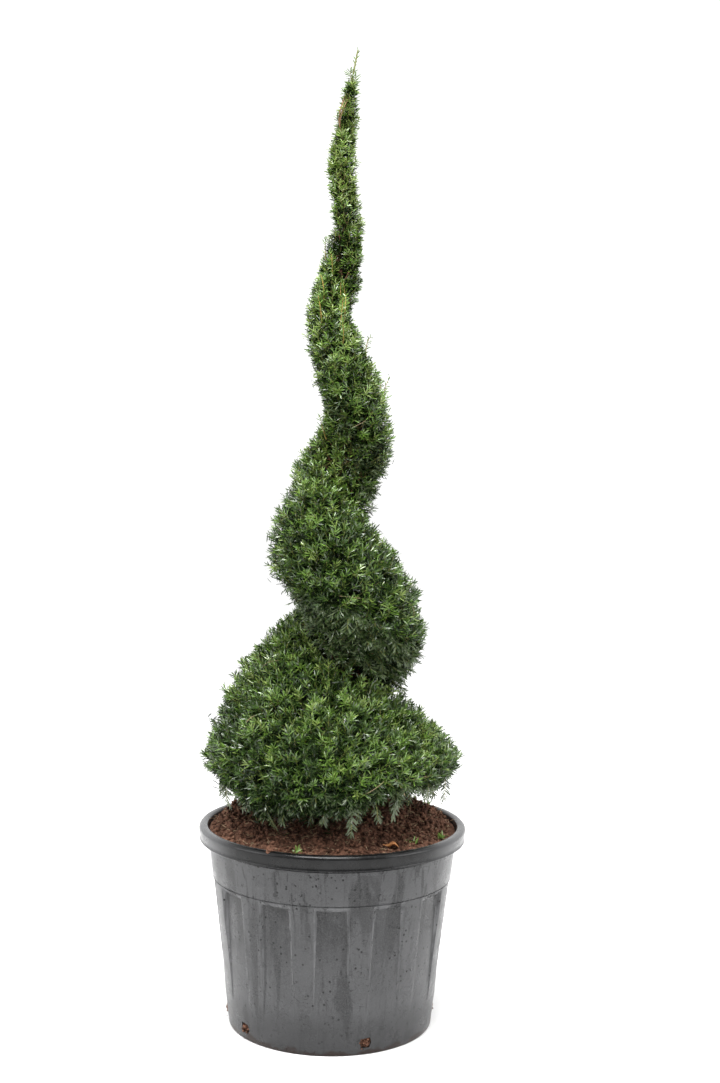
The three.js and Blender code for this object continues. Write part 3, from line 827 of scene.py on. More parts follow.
class Growth:
    """The whole plant above the soil, worked out from the seed. Boughs leave the trunk, rise and end
    inside the clipped surface; each twig forks off the bough nearest to its end, and each shoot off the
    nearest twig, so that every shoot's tip is a place on the clipped surface."""

    def __init__(self, look):
        self.look = look
        self.rng = rng = np.random.default_rng(look.seed)
        corners, normals, self.tree = clipped_surface(0.006)
        points, facing = scatter(corners, normals, 90_000, rng)
        below = points[:, 2] < TRUNK_TOP - BARE_OF_SHOOTS
        points, facing = points[below], facing[below]
        points[:, 2] += self.skirt_lift(points)
        self.surface = points, facing
        self.boughs = self.grow_boughs(points, facing)
        self.twigs = self.grow_twigs(points, facing)
        self.shoots = self.grow_shoots(points, facing)

    def reach(self, points):
        """How far each point lies from the trunk's axis, level with it."""
        return np.linalg.norm((points - trunk_point(points[:, 2]))[:, :2], axis=1)

    def skirt_lift(self, points):
        """How far the shoots round the skirt's edge are raised: least a little left of the front, where
        sprays hang, most beside and behind it, and not at all above the skirt."""
        turn = np.arctan2(points[:, 0], -points[:, 1]) + math.radians(16)
        aside = smooth(0.07, 0.28, 1 - np.cos(turn))
        edge = 1 - smooth(0.50, 0.62, points[:, 2])
        return self.look.skirt_lift * lerp(0.3, 1.0, aside) * edge

    def grow_boughs(self, points, facing):
        """Boughs: ends at part of the way out to evenly thinned places, closer together where the plant is
        slim. Each starts lower on the trunk, by a share of its reach, and curves upwards."""
        rng, look = self.rng, self.look
        slim = self.reach(points) < 0.11
        wide = np.flatnonzero(~slim)[evenly(points[~slim], look.bough_spacing, rng)]
        narrow = np.flatnonzero(slim)[evenly(points[slim], 0.55 * look.bough_spacing, rng)]
        tip = points[np.concatenate([wide, narrow])]
        tip = tip[tip[:, 2] < TRUNK_TOP - BARE_OF_BOUGHS]
        reach = self.reach(tip)
        end = lerp(trunk_point(tip[:, 2]), tip, 0.66)
        foot = np.clip(tip[:, 2] - 0.3 * reach - 0.01, TRUNK_FOOT + 0.03, TRUNK_TOP - 0.03)
        start = trunk_point(foot)
        outward = unit((end - start) * LEVEL)
        start = start + outward * 0.5 * trunk_radius(foot)[:, None]
        middle = start + outward * 0.3 * reach[:, None] + UP * (0.05 * reach[:, None])
        thick = 0.0016 + 0.026 * reach
        return {"start": start, "middle": middle, "end": end, "thick": thick}

    def fork(self, parents, ends, low):
        """Where limbs with those ends leave the parents: on the parent whose end is nearest, at a random
        share of its way beyond low, in the direction that it has there."""
        parent = nearest(ends, parents["end"])
        share = self.rng.uniform(low, 1.0, (len(ends), 1))
        curve = [parents[key][parent] for key in ("start", "middle", "end")]
        return bend(*curve, share)[:, 0], bend_direction(*curve, share)[:, 0]

    def grow_twigs(self, points, facing):
        """Twigs: ends a little under the clipped surface."""
        pick = evenly(points, self.look.twig_spacing, self.rng)
        reach = self.reach(points[pick])
        half_inset = 0.5 * np.minimum(0.034, 0.4 * reach)[:, None]
        end = points[pick] - half_inset * facing[pick] - half_inset * outwards(points[pick])
        start, heading = self.fork(self.boughs, end, 0.35)
        length = np.linalg.norm(end - start, axis=1, keepdims=True)
        middle = start + 0.45 * length * unit(heading + 0.25 * UP)
        thick = 0.0009 + 0.008 * length[:, 0]
        return {"start": start, "middle": middle, "end": end, "thick": thick}

    def grow_shoots(self, points, facing):
        """Shoots: tips on the clipped surface, tufted a little in and out of it. A shoot points out of the
        surface and upwards, more upwards where the plant is slim, and hangs where the surface looks down. In
        the groove at the front and the right, shoots reach out towards the line between its two lips."""
        rng, look = self.rng, self.look
        pick = evenly(points, look.shoot_spacing, rng)
        tip, out = points[pick], facing[pick]
        count = len(tip)
        reach = self.reach(tip)
        slim = self.slimness(reach)
        under = smooth(0.1, 0.65, -out[:, 2])
        rise = lerp(0.5, 1.25, slim) * (1 - under) - 0.25 * under
        tuft = 0.013 * lattice_noise(tip, 0.038, 11) + 0.011 * lattice_noise(tip, 0.020, 12)
        proud = np.clip(tuft + rng.normal(-0.003, 0.0055, count), -0.030, 0.014) - 0.008
        proud = proud * lerp(1, 0.4, slim)
        outward = outwards(tip)
        push = self.groove_push(tip, outward, reach) * rng.uniform(0.6, 1.0, count)
        tip = tip + out * proud[:, None] + outward * push[:, None]
        level = outward * np.clip(push / 0.02, 0, 1.5)[:, None]
        heading = unit(out + level + rise[:, None] * UP + rng.normal(0, 0.3, tip.shape))
        length = look.shoot_length * rng.uniform(0.75, 1.2, count) * lerp(1, 0.6, slim)
        length = np.minimum(length, 0.016 + 0.8 * reach)
        start, _ = self.fork(self.twigs, tip - heading * length[:, None], 0.45)
        middle = tip - heading * (0.7 * length)[:, None]
        flat = np.clip(0.25 + 0.6 * under - 0.2 * out[:, 2] + rng.normal(0, 0.1, count), 0, 0.92)
        return shoot_set((start, middle, tip), length, 0.0009, out, flat, under, slim)

    def slimness(self, reach):
        """From 1 where the plant is slimmest to 0 where it is wide."""
        return 1 - smooth(0.04, 0.14, reach)

    def groove_push(self, points, outward, reach):
        """How far out the shoots of the groove may reach: to the nearer of its two lips, by the share that
        the look gives at the front and the right, and less towards the left and the back."""
        lips = np.minimum(self.profile(points, outward, -0.05), self.profile(points, outward, 0.05))
        front_right = np.array([0.35, -1.0, 0.0])
        share = self.look.groove_fill * smooth(-0.1, 0.6, outward @ front_right)
        return np.clip(lips - reach - 0.008, 0, 0.14) * share

    def profile(self, points, outward, lift):
        """How far from the trunk's axis the clipped surface lies outwards of each point, at a height lifted
        from its own: where a ray from far outside first meets a mass."""
        axis = trunk_point(points[:, 2] + lift)
        starts = axis + outward
        hits = (self.tree.ray_cast(Vector(p), Vector(n)) for p, n in zip(starts, -outward))
        return np.array([0.0 if hit[3] is None else 1.0 - hit[3] for hit in hits])

    def inner_shoots(self):
        """Shaded shoots deeper in the plant, sparser, with ends set inwards from the clipped surface."""
        rng = self.rng
        points, facing = self.surface
        pick = evenly(points, self.look.shoot_spacing * 1.75, rng)
        pick = pick[points[pick, 2] < TRUNK_TOP - BARE_OF_INNER]
        reach = self.reach(points[pick])
        slim = self.slimness(reach)
        depth = np.minimum(0.045, 0.6 * reach) * rng.uniform(0.7, 1.3, len(pick))
        end = points[pick] - outwards(points[pick]) * depth[:, None]
        loose = rng.normal(0, 1, end.shape) * lerp(1, 0.25, slim)[:, None]
        heading = unit(loose + 0.5 * facing[pick] + (0.4 + slim[:, None]) * UP)
        length = np.minimum(0.055, 0.014 + 0.5 * reach)
        start = end - heading * length[:, None]
        return shoot_set((start, (start + end) / 2, end), length, 0.001, facing[pick], flat=0.1, slim=slim)


def needle_rows(shoots, count, look, rng, size=1.0, twist=0.45):
    """Needles along shoots, as many on each as count, turned by the golden angle from one to the next.
    They stand away from the shoot at its foot and lean forward at its tip, are longest at the middle, and
    on flat shoots lie to the two sides, with their faces up. Each is twisted about its length by a random
    share. Returns each needle's root, direction, facing, length and share."""
    n = len(shoots["end"])
    ends = np.linspace(0, 1, count)
    path = np.linalg.norm(shoots["end"] - shoots["start"], axis=1)
    first = 1 - np.clip(shoots["length"] / np.maximum(path, 1e-4), 0.2, 0.97)
    share = first[:, None] + (1 - first[:, None]) * ends + rng.normal(0, 0.008, (n, count))
    share = np.clip(share, 0, 1)
    curve = [shoots[key] for key in ("start", "middle", "end")]
    root, axis = bend(*curve, share), bend_direction(*curve, share)
    nearly_up = UP + 0.001  # an upright axis has no cross product with UP itself
    level = unit(np.cross(axis, nearly_up))
    above = np.cross(level, axis)
    turn = GOLDEN_ANGLE * np.arange(count) + rng.uniform(0, 2 * math.pi, (n, 1))
    turn = turn + rng.normal(0, 0.2, (n, count))
    squash = 1 - shoots["flat"][:, None, None]
    spoke = unit(np.cos(turn)[..., None] * level + squash * np.sin(turn)[..., None] * above)
    closing = lerp(26.0, 42.0, shoots["slim"])[:, None]
    opening = np.radians(lerp(68.0, closing, ends**1.6)) + rng.normal(0, 0.14, (n, count))
    direction = np.cos(opening)[..., None] * axis + np.sin(opening)[..., None] * spoke
    profile = 0.55 + 0.45 * np.sin(math.pi * (0.12 + 0.76 * ends))
    small = lerp(1.0, 0.84, shoots["slim"])[:, None]
    length = size * look.needle_length * profile * small * rng.uniform(0.78, 1.18, (n, count))
    facing = unit(lerp(above, axis, np.clip(1.4 * squash - 0.1, 0, 1)))
    facing = unit(facing + rng.normal(0, twist, facing.shape))
    flattened = [a.reshape(-1, 3) for a in (root, unit(direction), facing)]
    return (*flattened, length.ravel(), np.broadcast_to(ends, (n, count)).ravel())


def needle_tints(shoots, count, ends, rng):
    """Number of each needle's tint, dealt out by spray as painted light and shade. The yellow-green tint goes
    to the tips of sprays that get most light, partly the colour of new growth and partly painted light; the
    lighter tint, painted light, or the plain one to the rest of the outside; and the near-black tint, painted
    shade, to the foot of each spray. Where the surface looks down it is mostly the greyish dull tint, the
    needles' own paler undersides lightened as painted light, or the plain one, with more near-black ones,
    painted shade, low in the skirt. The light on a spray grows with how far the surface faces up, how slim
    the plant is and how high the spray is, and less of it reaches the skirt."""
    n = len(shoots["end"])
    height = shoots["end"][:, 2]
    patch = lattice_noise(shoots["end"], 0.06, 21) * 0.2 + rng.normal(0, 0.33, n)
    low = 1 - smooth(0.52, 0.62, height)
    upper = smooth(1.15, 1.35, height)
    top = smooth(1.7, 2.0, height)
    light = 0.36 + 0.35 * shoots["out"][:, 2] + (0.28 + 0.4 * top) * shoots["slim"] + patch
    light = light + 0.15 * upper - 0.3 * low
    light, under = np.repeat(light, count), np.repeat(shoots["under"] + rng.normal(0, 0.15, n), count)
    light = light + rng.normal(0, 0.16, len(light))
    # Painted light and shade: the lighter tint where the spray's light is high, the plain one where it is
    # low, and the near-black one at the foot of the spray.
    tint = np.where(light > 0.56, FRESH_AND_LIT, LEAF)
    tint = np.where((light > 0.95) & (ends > 0.64), YOUNG, tint)
    tint = np.where(ends < lerp(0.8, 0.36, np.clip(light, 0, 1)), DEEP_SHADE, tint)
    # Where the surface looks down: the greyish dull tint, lightened as painted light, or the plain one, and
    # painted shade low in the skirt, where more needles take the near-black tint.
    mixed = rng.random(len(tint))
    shaded = np.where(mixed < 0.36, LEAF, DULL)
    shaded = np.where(mixed > lerp(0.92, 0.4, np.repeat(low, count)), DEEP_SHADE, shaded)
    return np.where((under > 0.4) & (ends > 0.2), shaded, tint)


def build_boughs(plant, look):
    """Boughs, twigs and the stems of the shoots, each kind joined, as tapering round limbs."""
    add_limbs("boughs", plant.boughs, 8, 6, 0.45, bark_finish("bough_bark", look.bark, 220.0), "bark")
    add_limbs("twigs", plant.twigs, 6, 4, 0.5, bark_finish("twig_rind", look.twig, 300.0), "bark")
    add_limbs("shoot_stems", plant.shoots, 3, 3, 0.6, bark_finish("shoot_rind", look.shoot, 400.0), "foliage")


def add_limbs(name, limbs, stations, sides, taper, finish, slot):
    """Limbs on their curves, tapering evenly to that share of their thickness at the end."""
    share = np.broadcast_to(np.linspace(0, 1, stations), (len(limbs["end"]), stations))
    paths = bend(limbs["start"], limbs["middle"], limbs["end"], share)
    radii = limbs["thick"][:, None] * lerp(1.0, taper, share)
    points, faces = tubes(paths, radii, sides)
    add_piece(name, points, faces, finish, slot, smooth_angle=math.radians(80))


def build_needles(plant, look):
    """All needles of the outer and the shaded shoots, as pieces of one tint each. The first of them takes
    the place of the masses of foliage. Needles are left out at random where the plant is slimmest."""
    rng = np.random.default_rng(look.seed + 2)
    inner_shoots = plant.inner_shoots()
    outer = needle_rows(plant.shoots, look.needles_per_shoot, look, rng)
    outer_tints = needle_tints(plant.shoots, look.needles_per_shoot, outer[-1], rng)
    inner = needle_rows(inner_shoots, INNER_NEEDLES, look, rng, size=1.25)
    # The shaded inner shoots all take the near-black tint: painted shade inside the plant.
    tint = np.concatenate([outer_tints, np.full(len(inner[-1]), DEEP_SHADE)])
    root, direction, facing, length = (np.concatenate(pair) for pair in zip(outer[:4], inner[:4]))
    width = look.needle_width * rng.uniform(0.8, 1.15, len(root))
    slimmest = np.interp(plant.reach(root), [0.02, 0.06], [1.0, 0.0])
    kept = rng.random(len(root)) > look.thinning * slimmest
    nodes = list(FOLIAGE_NODES)
    for number, (name, gloss) in enumerate(GLOSS.items()):
        finish = needle_finish(f"needles_{name}", getattr(look, name), gloss)
        chosen = np.flatnonzero((tint == number) & kept)
        parts = max(1, math.ceil(len(chosen) * len(BLADE_FACES) / MAX_TRIANGLES))
        for k, part in enumerate(np.array_split(chosen, parts)):
            rows = (values[part] for values in (root, direction, facing, length, width))
            mesh = blades_mesh(*rows, look.droop)
            add_piece(f"needles_{name}_{k + 1}", *mesh, finish, "foliage", nodes)
            nodes = []


def build_young_shoots(plant, look):
    """Upright young shoots that the shears missed, with ochre stems and short sparse needles. They stand on
    the sides that face up, and most of them at one height."""
    rng = np.random.default_rng(look.seed + 3)
    low, most, high = 1.0, 1.58, 1.75
    points, facing = plant.surface
    fit = (points[:, 2] > low) & (points[:, 2] < high) & (facing[:, 2] > 0.3)
    root = points[fit][evenly(points[fit], 0.045, rng)]
    liking = np.abs(root[:, 2] - most) + rng.uniform(0, 0.45, len(root))
    root = root[np.argsort(liking)[: look.young_shoots]]
    outward = outwards(root)
    root = root - outward * 0.008 - UP * 0.012
    rise = rng.uniform(0.044, 0.078, len(root))
    end = root + unit(UP + rng.normal(0, 0.09, root.shape) + 0.12 * outward) * rise[:, None]
    middle = (root + end) / 2 + rng.normal(0, 0.004, root.shape)
    shoots = shoot_set((root, middle, end), 0.85 * rise, 0.0012)
    add_limbs("young_stems", shoots, 8, 5, 0.4, bark_finish("young_rind", look.young_stem, 300.0), "foliage")
    *row, _ = needle_rows(shoots, 32, look, rng, size=0.75, twist=0.9)
    mesh = blades_mesh(*row, look.needle_width * 0.9, look.droop)
    add_piece("young_shoot_needles", *mesh, needle_finish("needles_on_young_shoots", look.fresh), "foliage")


def build_hanging_sprays(plant, look):
    """Sprays that hang from the skirt's lower edge like feathers: each one droops outwards and down, clear of
    the soil and inside the rim, and its needles lie in two rows beside the stem."""
    rng = np.random.default_rng(look.seed + 5)
    points, facing = plant.surface
    reach = plant.reach(points)
    skirt = (points[:, 2] < 0.58) & (facing[:, 2] < -0.1) & (reach > 0.17) & (reach < 0.25)
    root = points[skirt][evenly(points[skirt], 0.068, rng)] + 0.03 * UP
    outward = outwards(root)
    heading = unit(outward * rng.uniform(0.0, 0.4, (len(root), 1)) - UP + rng.normal(0, 0.25, root.shape))
    length = rng.uniform(0.05, 0.08, len(root))
    end = root + heading * length[:, None]
    end[:, :2] *= np.minimum(1, 0.25 / np.linalg.norm(end[:, :2], axis=1))[:, None]
    end[:, 2] = np.maximum(end[:, 2], SOIL_EDGE + 0.012)
    middle = root + outward * 0.018 + heading * 0.2 * length[:, None]
    sprays = shoot_set((root, middle, end), 0.95 * length, 0.0011, heading, flat=0.93, under=1.0, slim=0.0)
    add_limbs("hanging_stems", sprays, 6, 3, 0.5, bark_finish("hanging_rind", look.shoot, 400.0), "foliage")
    *row, _ = needle_rows(sprays, 46, look, rng, size=0.95, twist=0.25)
    mesh = blades_mesh(*row, look.needle_width, look.droop)
    # A darker copy of the dull tint: painted shade under the skirt.
    finish = needle_finish("needles_on_hanging_sprays", shade(look.dull, 0.75), 0.5)
    add_piece("hanging_needles", *mesh, finish, "foliage")


def build_bare_twigs(plant, look):
    """A few bare twigs that lie along the clipped surface, each bent towards the plant's outside, and one
    longer one at a place of its own."""
    rng = np.random.default_rng(look.seed + 6)
    points, facing = plant.surface
    wide = (plant.reach(points) > 0.07) & (points[:, 2] > 0.6)
    pick = np.flatnonzero(wide)[evenly(points[wide], 0.27, rng)]
    pick = np.append(pick, np.linalg.norm(points - np.array(look.long_twig), axis=1).argmin())
    middle, out = points[pick], facing[pick]
    along = unit(np.cross(out, rng.normal(0, 1, out.shape)))
    half = rng.uniform(0.02, 0.055, (len(pick), 1))
    along[-1], half[-1] = unit(np.array([0.75, 0.0, 0.55])), 0.036
    middle = middle + out * (0.16 * half - 0.001)
    middle[-1] += [0.008, -0.012, -0.012]
    start = middle - along * half - out * (half + 0.012)
    end = middle + along * half - out * (0.6 * half)
    twigs = shoot_set((start, middle, end), 0.0, rng.uniform(0.0009, 0.0015, len(pick)))
    add_limbs("bare_twigs", twigs, 12, 6, 0.45, bark_finish("dry_rind", look.bare_twig, 260.0), "bark")


def build_leader(look):
    """The plant's sparse tip: needles straight on the last stretch of the trunk, and thin side shoots that
    rise beside it, turned by the golden angle, higher and closer to it towards the top."""
    rng = np.random.default_rng(look.seed + 4)
    low = np.array([TRUNK_TOP - LEADER])
    start, end = trunk_point(low), trunk_point(low + LEADER)
    middle = 2 * trunk_point(low + LEADER / 2) - 0.5 * (start + end)
    leader = shoot_set((start, middle, end), 0.98 * LEADER, 0.0, slim=0.5)
    count = look.side_shoots
    outward = around(1.0, GOLDEN_ANGLE * np.arange(count) + math.pi, 0.0)
    share = np.linspace(0, 1, count)
    tip = trunk_point(TRUNK_TOP - 0.045 - 0.17 * share)
    tip = tip + outward * (lerp(0.008, 0.027, share) * rng.uniform(0.8, 1.2, count))[:, None]
    rise = lerp(0.022, 0.068, share)
    foot = trunk_point(tip[:, 2] - rise)
    bent = lerp(foot, tip, 0.5) + outward * 0.005
    beside = shoot_set((foot, bent, tip), 0.85 * rise, 0.0009, slim=0.5)
    meshes = []
    for shoots, needles, size in ((leader, 46, 0.62), (beside, 20, 0.95)):
        *row, _ = needle_rows(shoots, needles, look, rng, size, twist=1.2)
        meshes.append(blades_mesh(*row, look.needle_width, look.droop))
    points = np.concatenate([mesh[0] for mesh in meshes])
    faces = np.concatenate([meshes[0][1], meshes[1][1] + len(meshes[0][0])])
    # A darker copy of the lighter needle tint: painted shade on the backlit tip.
    finish = needle_finish("needles_on_leader", shade(look.fresh, 0.62))
    add_piece("leader_needles", points, faces, finish, "foliage")
    rind = bark_finish("side_shoot_rind", look.shoot, 400.0)
    add_limbs("leader_side_shoots", beside, 6, 4, 0.5, rind, "foliage")


def build_trunk(look):
    """The trunk with its bark: the node's own taper, lean and flare, with long flakes raised on it. Relief
    is a share of the radius, from noise stretched along the trunk and twisted a little round it."""
    rows, columns = 420, 48
    z = np.linspace(TRUNK_FOOT, TRUNK_TOP, rows)[:, None]
    turn = np.linspace(0, 2 * math.pi, columns, endpoint=False)[None]
    at = around(0.02, turn + 2.0 * z, z / 5)
    relief = 0.6 * np.abs(lattice_noise(at, 0.008, 31)) + 0.4 * np.abs(lattice_noise(at, 0.003, 32))
    flutes = 0.05 * np.cos(3 * turn + 0.7) * np.exp(-(z - TRUNK_FOOT) / 0.05)
    radius = trunk_radius(z) * (1 + look.bark_relief * (relief - 0.35) + flutes)
    points, faces = closed_surface(trunk_point(z) + radius[..., None] * around(1.0, turn, 0.0))
    finish = bark_finish("trunk_bark", look.bark, 130.0, look.green_stem)
    add_piece("trunk_bark", points, faces, finish, "bark", ["trunk"], smooth_angle=math.radians(60))


# ---------------------------------------------------------------- stage

PLANT_MIDDLE = Vector((0.0, 0.0, 1.0))  # the middle of the plant, that the lamps point at


def build_stage(look):
    """A plain pale floor, white surroundings, soft light from above and both sides, and the camera."""
    bpy.context.scene.view_settings.view_transform = "Standard"
    add_floor(look)
    add_sky(look)
    add_lamp("top_light", (-0.3, -1.3, 4.4), 2.2, look.top_light)
    add_lamp("left_light", (-3.6, -1.2, 2.2), 2.4, look.side_light)
    add_lamp("right_light", (3.6, -1.2, 2.2), 2.4, look.side_light * look.right_share)
    add_camera(look)


def add_camera(look):
    """The camera at its place, looking to the back and a little down, and rolled about its line of sight."""
    camera = bpy.data.cameras.new("camera")
    camera.lens, camera.sensor_width = look.lens, 36.0
    down, roll = look.camera_down, look.camera_roll
    ahead = np.array([0, math.cos(down), -math.sin(down)])
    above = np.array([0, math.sin(down), math.cos(down)])
    right = np.array([1.0, 0.0, 0.0])
    rolled_right = math.cos(roll) * right + math.sin(roll) * above
    rolled_above = math.cos(roll) * above - math.sin(roll) * right
    matrix = Matrix(np.column_stack([rolled_right, rolled_above, -ahead]).tolist()).to_4x4()
    matrix.translation = Vector(look.camera_place)
    holder = bpy.data.objects.new("camera", camera)
    holder.matrix_world = matrix
    bpy.context.scene.collection.objects.link(holder)
    bpy.context.scene.camera = holder


def add_floor(look):
    """A level sheet, wide enough to run out of sight."""
    half_width, points = 30.0, 31
    across = np.linspace(-half_width, half_width, points)
    x, y = np.meshgrid(across, across)
    sheet = np.stack([x, y, np.zeros_like(x)], axis=-1)
    quads = grid_quads(points, points, closed=False)
    mesh = bpy.data.meshes.new("floor")
    mesh.from_pydata(sheet.reshape(-1, 3).tolist(), [], quads.tolist())
    s = Shader("pale_floor")
    tone = s.mix(s.noise(1.5, 3.0), shade(look.floor, 0.99), shade(look.floor, 1.0))
    mesh.materials.append(s.finish(tone, 0.6, s.noise(60.0, 2.0), 0.03, 0.001, 0.2))
    floor = bpy.data.objects.new("floor", mesh)
    bpy.context.scene.collection.objects.link(floor)


def add_sky(look):
    """White surroundings that light the plant less from in front than from beside and behind, and that
    look evenly white."""
    world = bpy.data.worlds.new("white_studio")
    world.use_nodes = True
    tree = world.node_tree
    place = tree.nodes.new("ShaderNodeTexCoord").outputs["Generated"]
    split = tree.nodes.new("ShaderNodeSeparateXYZ")
    tree.links.new(place, split.inputs["Vector"])
    front = tree.nodes.new("ShaderNodeMapRange")
    front.inputs["From Min"].default_value, front.inputs["From Max"].default_value = -0.95, -0.1
    front.inputs["To Min"].default_value, front.inputs["To Max"].default_value = look.front_sky, look.sky
    tree.links.new(split.outputs["Y"], front.inputs["Value"])
    seen = tree.nodes.new("ShaderNodeMix")
    tree.links.new(tree.nodes.new("ShaderNodeLightPath").outputs["Is Camera Ray"], seen.inputs["Factor"])
    tree.links.new(front.outputs["Result"], seen.inputs["A"])
    seen.inputs["B"].default_value = look.sky
    tree.links.new(seen.outputs["Result"], tree.nodes["Background"].inputs["Strength"])
    tree.nodes["Background"].inputs["Color"].default_value = (1.0, 1.0, 1.0, 1.0)
    bpy.context.scene.world = world


def add_lamp(name, place, size, power):
    """A square soft lamp at a place, turned towards the middle of the plant."""
    light = bpy.data.lights.new(name, "AREA")
    light.size, light.energy = size, power
    lamp = bpy.data.objects.new(name, light)
    lamp.location = place
    lamp.rotation_euler = (PLANT_MIDDLE - Vector(place)).to_track_quat("-Z", "Y").to_euler()
    bpy.context.scene.collection.objects.link(lamp)


# ---------------------------------------------------------------- settings


def number_setting(name, default, description, **limits):
    """A number, with its limits, and its unit or kind where it has one."""
    return bpy.props.FloatProperty(name=name, description=description, default=default, **limits)


def length_setting(name, default, description, low=0.0):
    """A length in metres."""
    return number_setting(name, default, description, min=low, unit="LENGTH", precision=4)


def share_setting(name, default, description, high=1.0):
    """A share, from nothing to that much."""
    return number_setting(name, default, description, min=0.0, max=high, subtype="FACTOR")


def count_setting(name, default, description, low=0):
    """A whole number."""
    return bpy.props.IntProperty(name=name, description=description, default=default, min=low)


def seed_setting(default):
    """The start of the random draws."""
    return count_setting("Seed", default, "Start of every random choice")


def vector_setting(name, default, description, **kind):
    """Three numbers of one kind."""
    return bpy.props.FloatVectorProperty(name=name, description=description, default=default, size=3, **kind)


def colour_setting(name, default, description):
    """A base colour."""
    return vector_setting(name, default, description, subtype="COLOR", min=0.0, max=1.0)


def place_setting(name, default, description):
    """A place in the model's frame."""
    return vector_setting(name, default, description, subtype="TRANSLATION", unit="LENGTH")


class TopiaryPotSettings(bpy.types.PropertyGroup):
    """Sizes and colours of the pot, the soil and what lies on it"""

    panel_depth: length_setting("Panel depth", 0.0095, "How far the pot's panels are sunk at the ledge")
    plastic: colour_setting("Plastic", (0.043, 0.0433, 0.0446), "Dusty plastic of the ribbed wall")
    gloss: share_setting("Plastic roughness", 0.24, "Roughness of the cleanest plastic")
    soil_dark: colour_setting("Dark soil", (0.088, 0.044, 0.029), "Darker tone of the peat")
    soil_red: colour_setting("Red soil", (0.225, 0.113, 0.072), "Redder tone of the peat")
    straw: colour_setting("Straw", (0.42, 0.31, 0.19), "Pale fibres on the soil")
    seedling: colour_setting("Seedling", (0.16, 0.27, 0.05), "Weed seedlings")
    dry_leaf: colour_setting("Dry leaf", (0.52, 0.23, 0.09), "Fallen leaf")
    soil_relief: number_setting("Soil relief", 1.45, "Height of the clods, as a share of the usual", min=0.0)
    clod_turn: number_setting("Clod", -26.0, "Degrees from the front, to the right, to the clod on the rim")
    seed: seed_setting(5)


class TopiaryGrowthSettings(bpy.types.PropertyGroup):
    """Sizes, numbers and colours of the plant"""

    bough_spacing: length_setting("Bough spacing", 0.10, "Between the ends of boughs", 0.02)
    twig_spacing: length_setting("Twig spacing", 0.040, "Between the ends of twigs", 0.01)
    shoot_spacing: length_setting("Shoot spacing", 0.0168, "Between the tips of shoots", 0.005)
    shoot_length: length_setting("Shoot length", 0.049, "Needled length of a shoot", 0.01)
    needle_length: length_setting("Needle length", 0.0210, "Of the longest needles", 0.002)
    needle_width: length_setting("Needle width", 0.0023, "Of the broadest needles", 0.0005)
    needles_per_shoot: count_setting("Needles", 29, "Needles on each shoot", 4)
    young_shoots: count_setting("Young shoots", 22, "Upright shoots that the shears missed", 1)
    groove_fill: share_setting("Groove fill", 0.85, "How far shoots fill the groove at the front and right")
    skirt_lift: length_setting("Skirt lift", 0.045, "How far the skirt's edge is raised beside and behind")
    side_shoots: count_setting("Side shoots", 15, "Thin shoots beside the plant's tip", 1)
    thinning: share_setting("Thinning", 0.25, "Share of needles left out where the plant is slimmest")
    droop: share_setting("Droop", 0.14, "How far a needle's tip droops, as a share of its length")
    bark_relief: share_setting("Bark relief", 0.12, "Height of the bark's flakes, as a share of the radius")
    long_twig: place_setting("Long twig", (0.07, -0.25, 0.6), "Where the longest of the bare twigs lies")
    bark: colour_setting("Bark", (0.17, 0.085, 0.052), "Trunk and boughs")
    twig: colour_setting("Twig", (0.2, 0.12, 0.06), "Twigs")
    shoot: colour_setting("Shoot", (0.25, 0.25, 0.08), "Stems of the shoots")
    bare_twig: colour_setting("Bare twig", (0.33, 0.25, 0.15), "Dry twigs on the clipped surface")
    young_stem: colour_setting("Young stem", (0.36, 0.24, 0.07), "Stems of the upright young shoots")
    green_stem: colour_setting("Green stem", (0.13, 0.14, 0.045), "Rind of the trunk's last stretch")
    # The needle tints carry painted light and shade as well as colour: the yellow-green and the lighter tint
    # where light falls, the near-black one where shade falls, and the greyish dull one, the paler undersides,
    # lightened as painted light.
    young: colour_setting("Young needles", (0.17, 0.24, 0.052), "Yellow-green needles at the lightest tips")
    fresh: colour_setting("Fresh needles", (0.101, 0.188, 0.024), "Needles on the lighter side")
    leaf: colour_setting("Plain needles", (0.028, 0.063, 0.007), "Most needles")
    deep: colour_setting("Deep needles", (0.008, 0.017, 0.004), "Old needles at the foot of each spray")
    dull: colour_setting("Dull needles", (0.098, 0.135, 0.060), "Greyish needles on the undersides")
    seed: seed_setting(7)


class TopiaryStageSettings(bpy.types.PropertyGroup):
    """Camera, floor and light"""

    camera_place: place_setting("Camera place", (0.0522, -3.5641, 1.3397), "Where the camera stands")
    camera_down: number_setting("Camera tilt", math.radians(4.02), "How far it looks down", unit="ROTATION")
    camera_roll: number_setting("Camera roll", math.radians(0.89), "How far it is rolled", unit="ROTATION")
    lens: number_setting("Lens", 53.19, "Focal length in millimetres", min=10.0)
    floor: colour_setting("Floor", (0.97, 0.97, 0.965), "Floor and backdrop")
    sky: number_setting("Surroundings", 1.25, "Light from beside and behind", min=0.0)
    front_sky: number_setting("Front", 0.3, "Light from in front", min=0.0)
    top_light: number_setting("Top light", 290.0, "Power of the light above", unit="POWER")
    side_light: number_setting("Side lights", 66.0, "Power of the light at the left", unit="POWER")
    right_share: share_setting("Right share", 1.2, "Light at the right, as a share of that at the left", 2.0)


# ---------------------------------------------------------------- operators


class TOPIARY_OT_pot(bpy.types.Operator):
    """Make the ribbed nursery pot"""

    bl_idname = "topiary.pot"
    bl_label = "Make Pot"

    def execute(self, context):
        build_pot(context.scene.topiary_pot)
        return {"FINISHED"}


class TOPIARY_OT_soil(bpy.types.Operator):
    """Make the soil and what lies on it"""

    bl_idname = "topiary.soil"
    bl_label = "Make Soil"

    def execute(self, context):
        build_soil(context.scene.topiary_pot)
        build_litter(context.scene.topiary_pot)
        return {"FINISHED"}


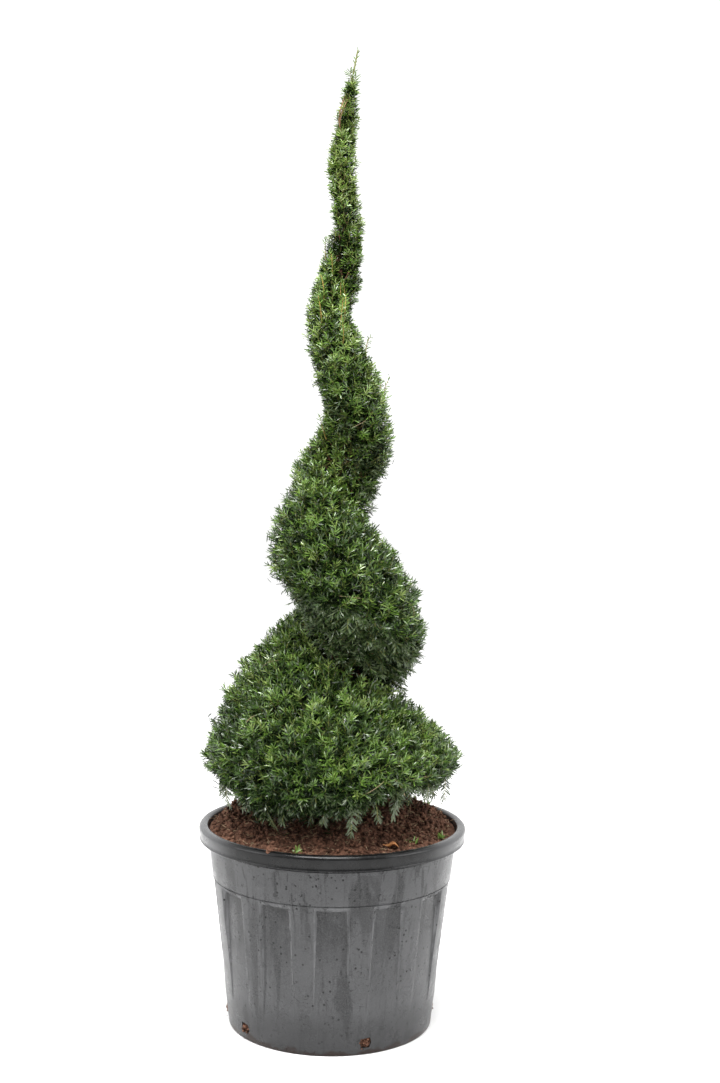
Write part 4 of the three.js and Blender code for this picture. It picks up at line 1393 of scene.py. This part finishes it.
class TOPIARY_OT_trunk(bpy.types.Operator):
    """Make the trunk with its bark"""

    bl_idname = "topiary.trunk"
    bl_label = "Make Trunk"

    def execute(self, context):
        build_trunk(context.scene.topiary_growth)
        return {"FINISHED"}


class TOPIARY_OT_boughs(bpy.types.Operator):
    """Grow the boughs, the twigs and the stems of the shoots"""

    bl_idname = "topiary.boughs"
    bl_label = "Grow Boughs"

    def execute(self, context):
        look = context.scene.topiary_growth
        build_boughs(Growth(look), look)
        return {"FINISHED"}


class TOPIARY_OT_needles(bpy.types.Operator):
    """Grow the needles on the shoots, the young shoots and the leader"""

    bl_idname = "topiary.needles"
    bl_label = "Grow Needles"

    def execute(self, context):
        look = context.scene.topiary_growth
        plant = Growth(look)
        build_needles(plant, look)
        build_young_shoots(plant, look)
        build_hanging_sprays(plant, look)
        build_bare_twigs(plant, look)
        build_leader(look)
        return {"FINISHED"}


class TOPIARY_OT_stage(bpy.types.Operator):
    """Make the floor, the lights and the camera"""

    bl_idname = "topiary.stage"
    bl_label = "Make Stage"

    def execute(self, context):
        build_stage(context.scene.topiary_stage)
        return {"FINISHED"}


class TOPIARY_PT_sidebar(bpy.types.Panel):
    """Lists the settings and the steps"""

    bl_idname = "TOPIARY_PT_sidebar"
    bl_label = "Spiral Topiary"
    bl_space_type = "VIEW_3D"
    bl_region_type = "UI"
    bl_category = "Topiary"

    def draw(self, context):
        for group in SETTINGS:
            box = self.layout.box()
            settings = getattr(context.scene, group)
            for name in settings.__annotations__:
                box.prop(settings, name)
        for operator in OPERATORS:
            self.layout.operator(operator.bl_idname)


SETTINGS = {
    "topiary_pot": TopiaryPotSettings,
    "topiary_growth": TopiaryGrowthSettings,
    "topiary_stage": TopiaryStageSettings,
}
OPERATORS = [
    TOPIARY_OT_pot,
    TOPIARY_OT_soil,
    TOPIARY_OT_trunk,
    TOPIARY_OT_boughs,
    TOPIARY_OT_needles,
    TOPIARY_OT_stage,
]


def register():
    """Makes the classes known, and gives the scene its settings."""
    for cls in (*SETTINGS.values(), *OPERATORS, TOPIARY_PT_sidebar):
        bpy.utils.register_class(cls)
    for name, cls in SETTINGS.items():
        setattr(bpy.types.Scene, name, bpy.props.PointerProperty(type=cls))


def unregister():
    """Takes back what register did."""
    for name in SETTINGS:
        delattr(bpy.types.Scene, name)
    for cls in (TOPIARY_PT_sidebar, *reversed(OPERATORS), *reversed(SETTINGS.values())):
        bpy.utils.unregister_class(cls)


def main():
    """Makes every piece in order."""
    register()
    bpy.ops.topiary.pot()
    bpy.ops.topiary.soil()
    bpy.ops.topiary.trunk()
    bpy.ops.topiary.boughs()
    bpy.ops.topiary.needles()
    bpy.ops.topiary.stage()


if __name__ == "__main__":
    main()
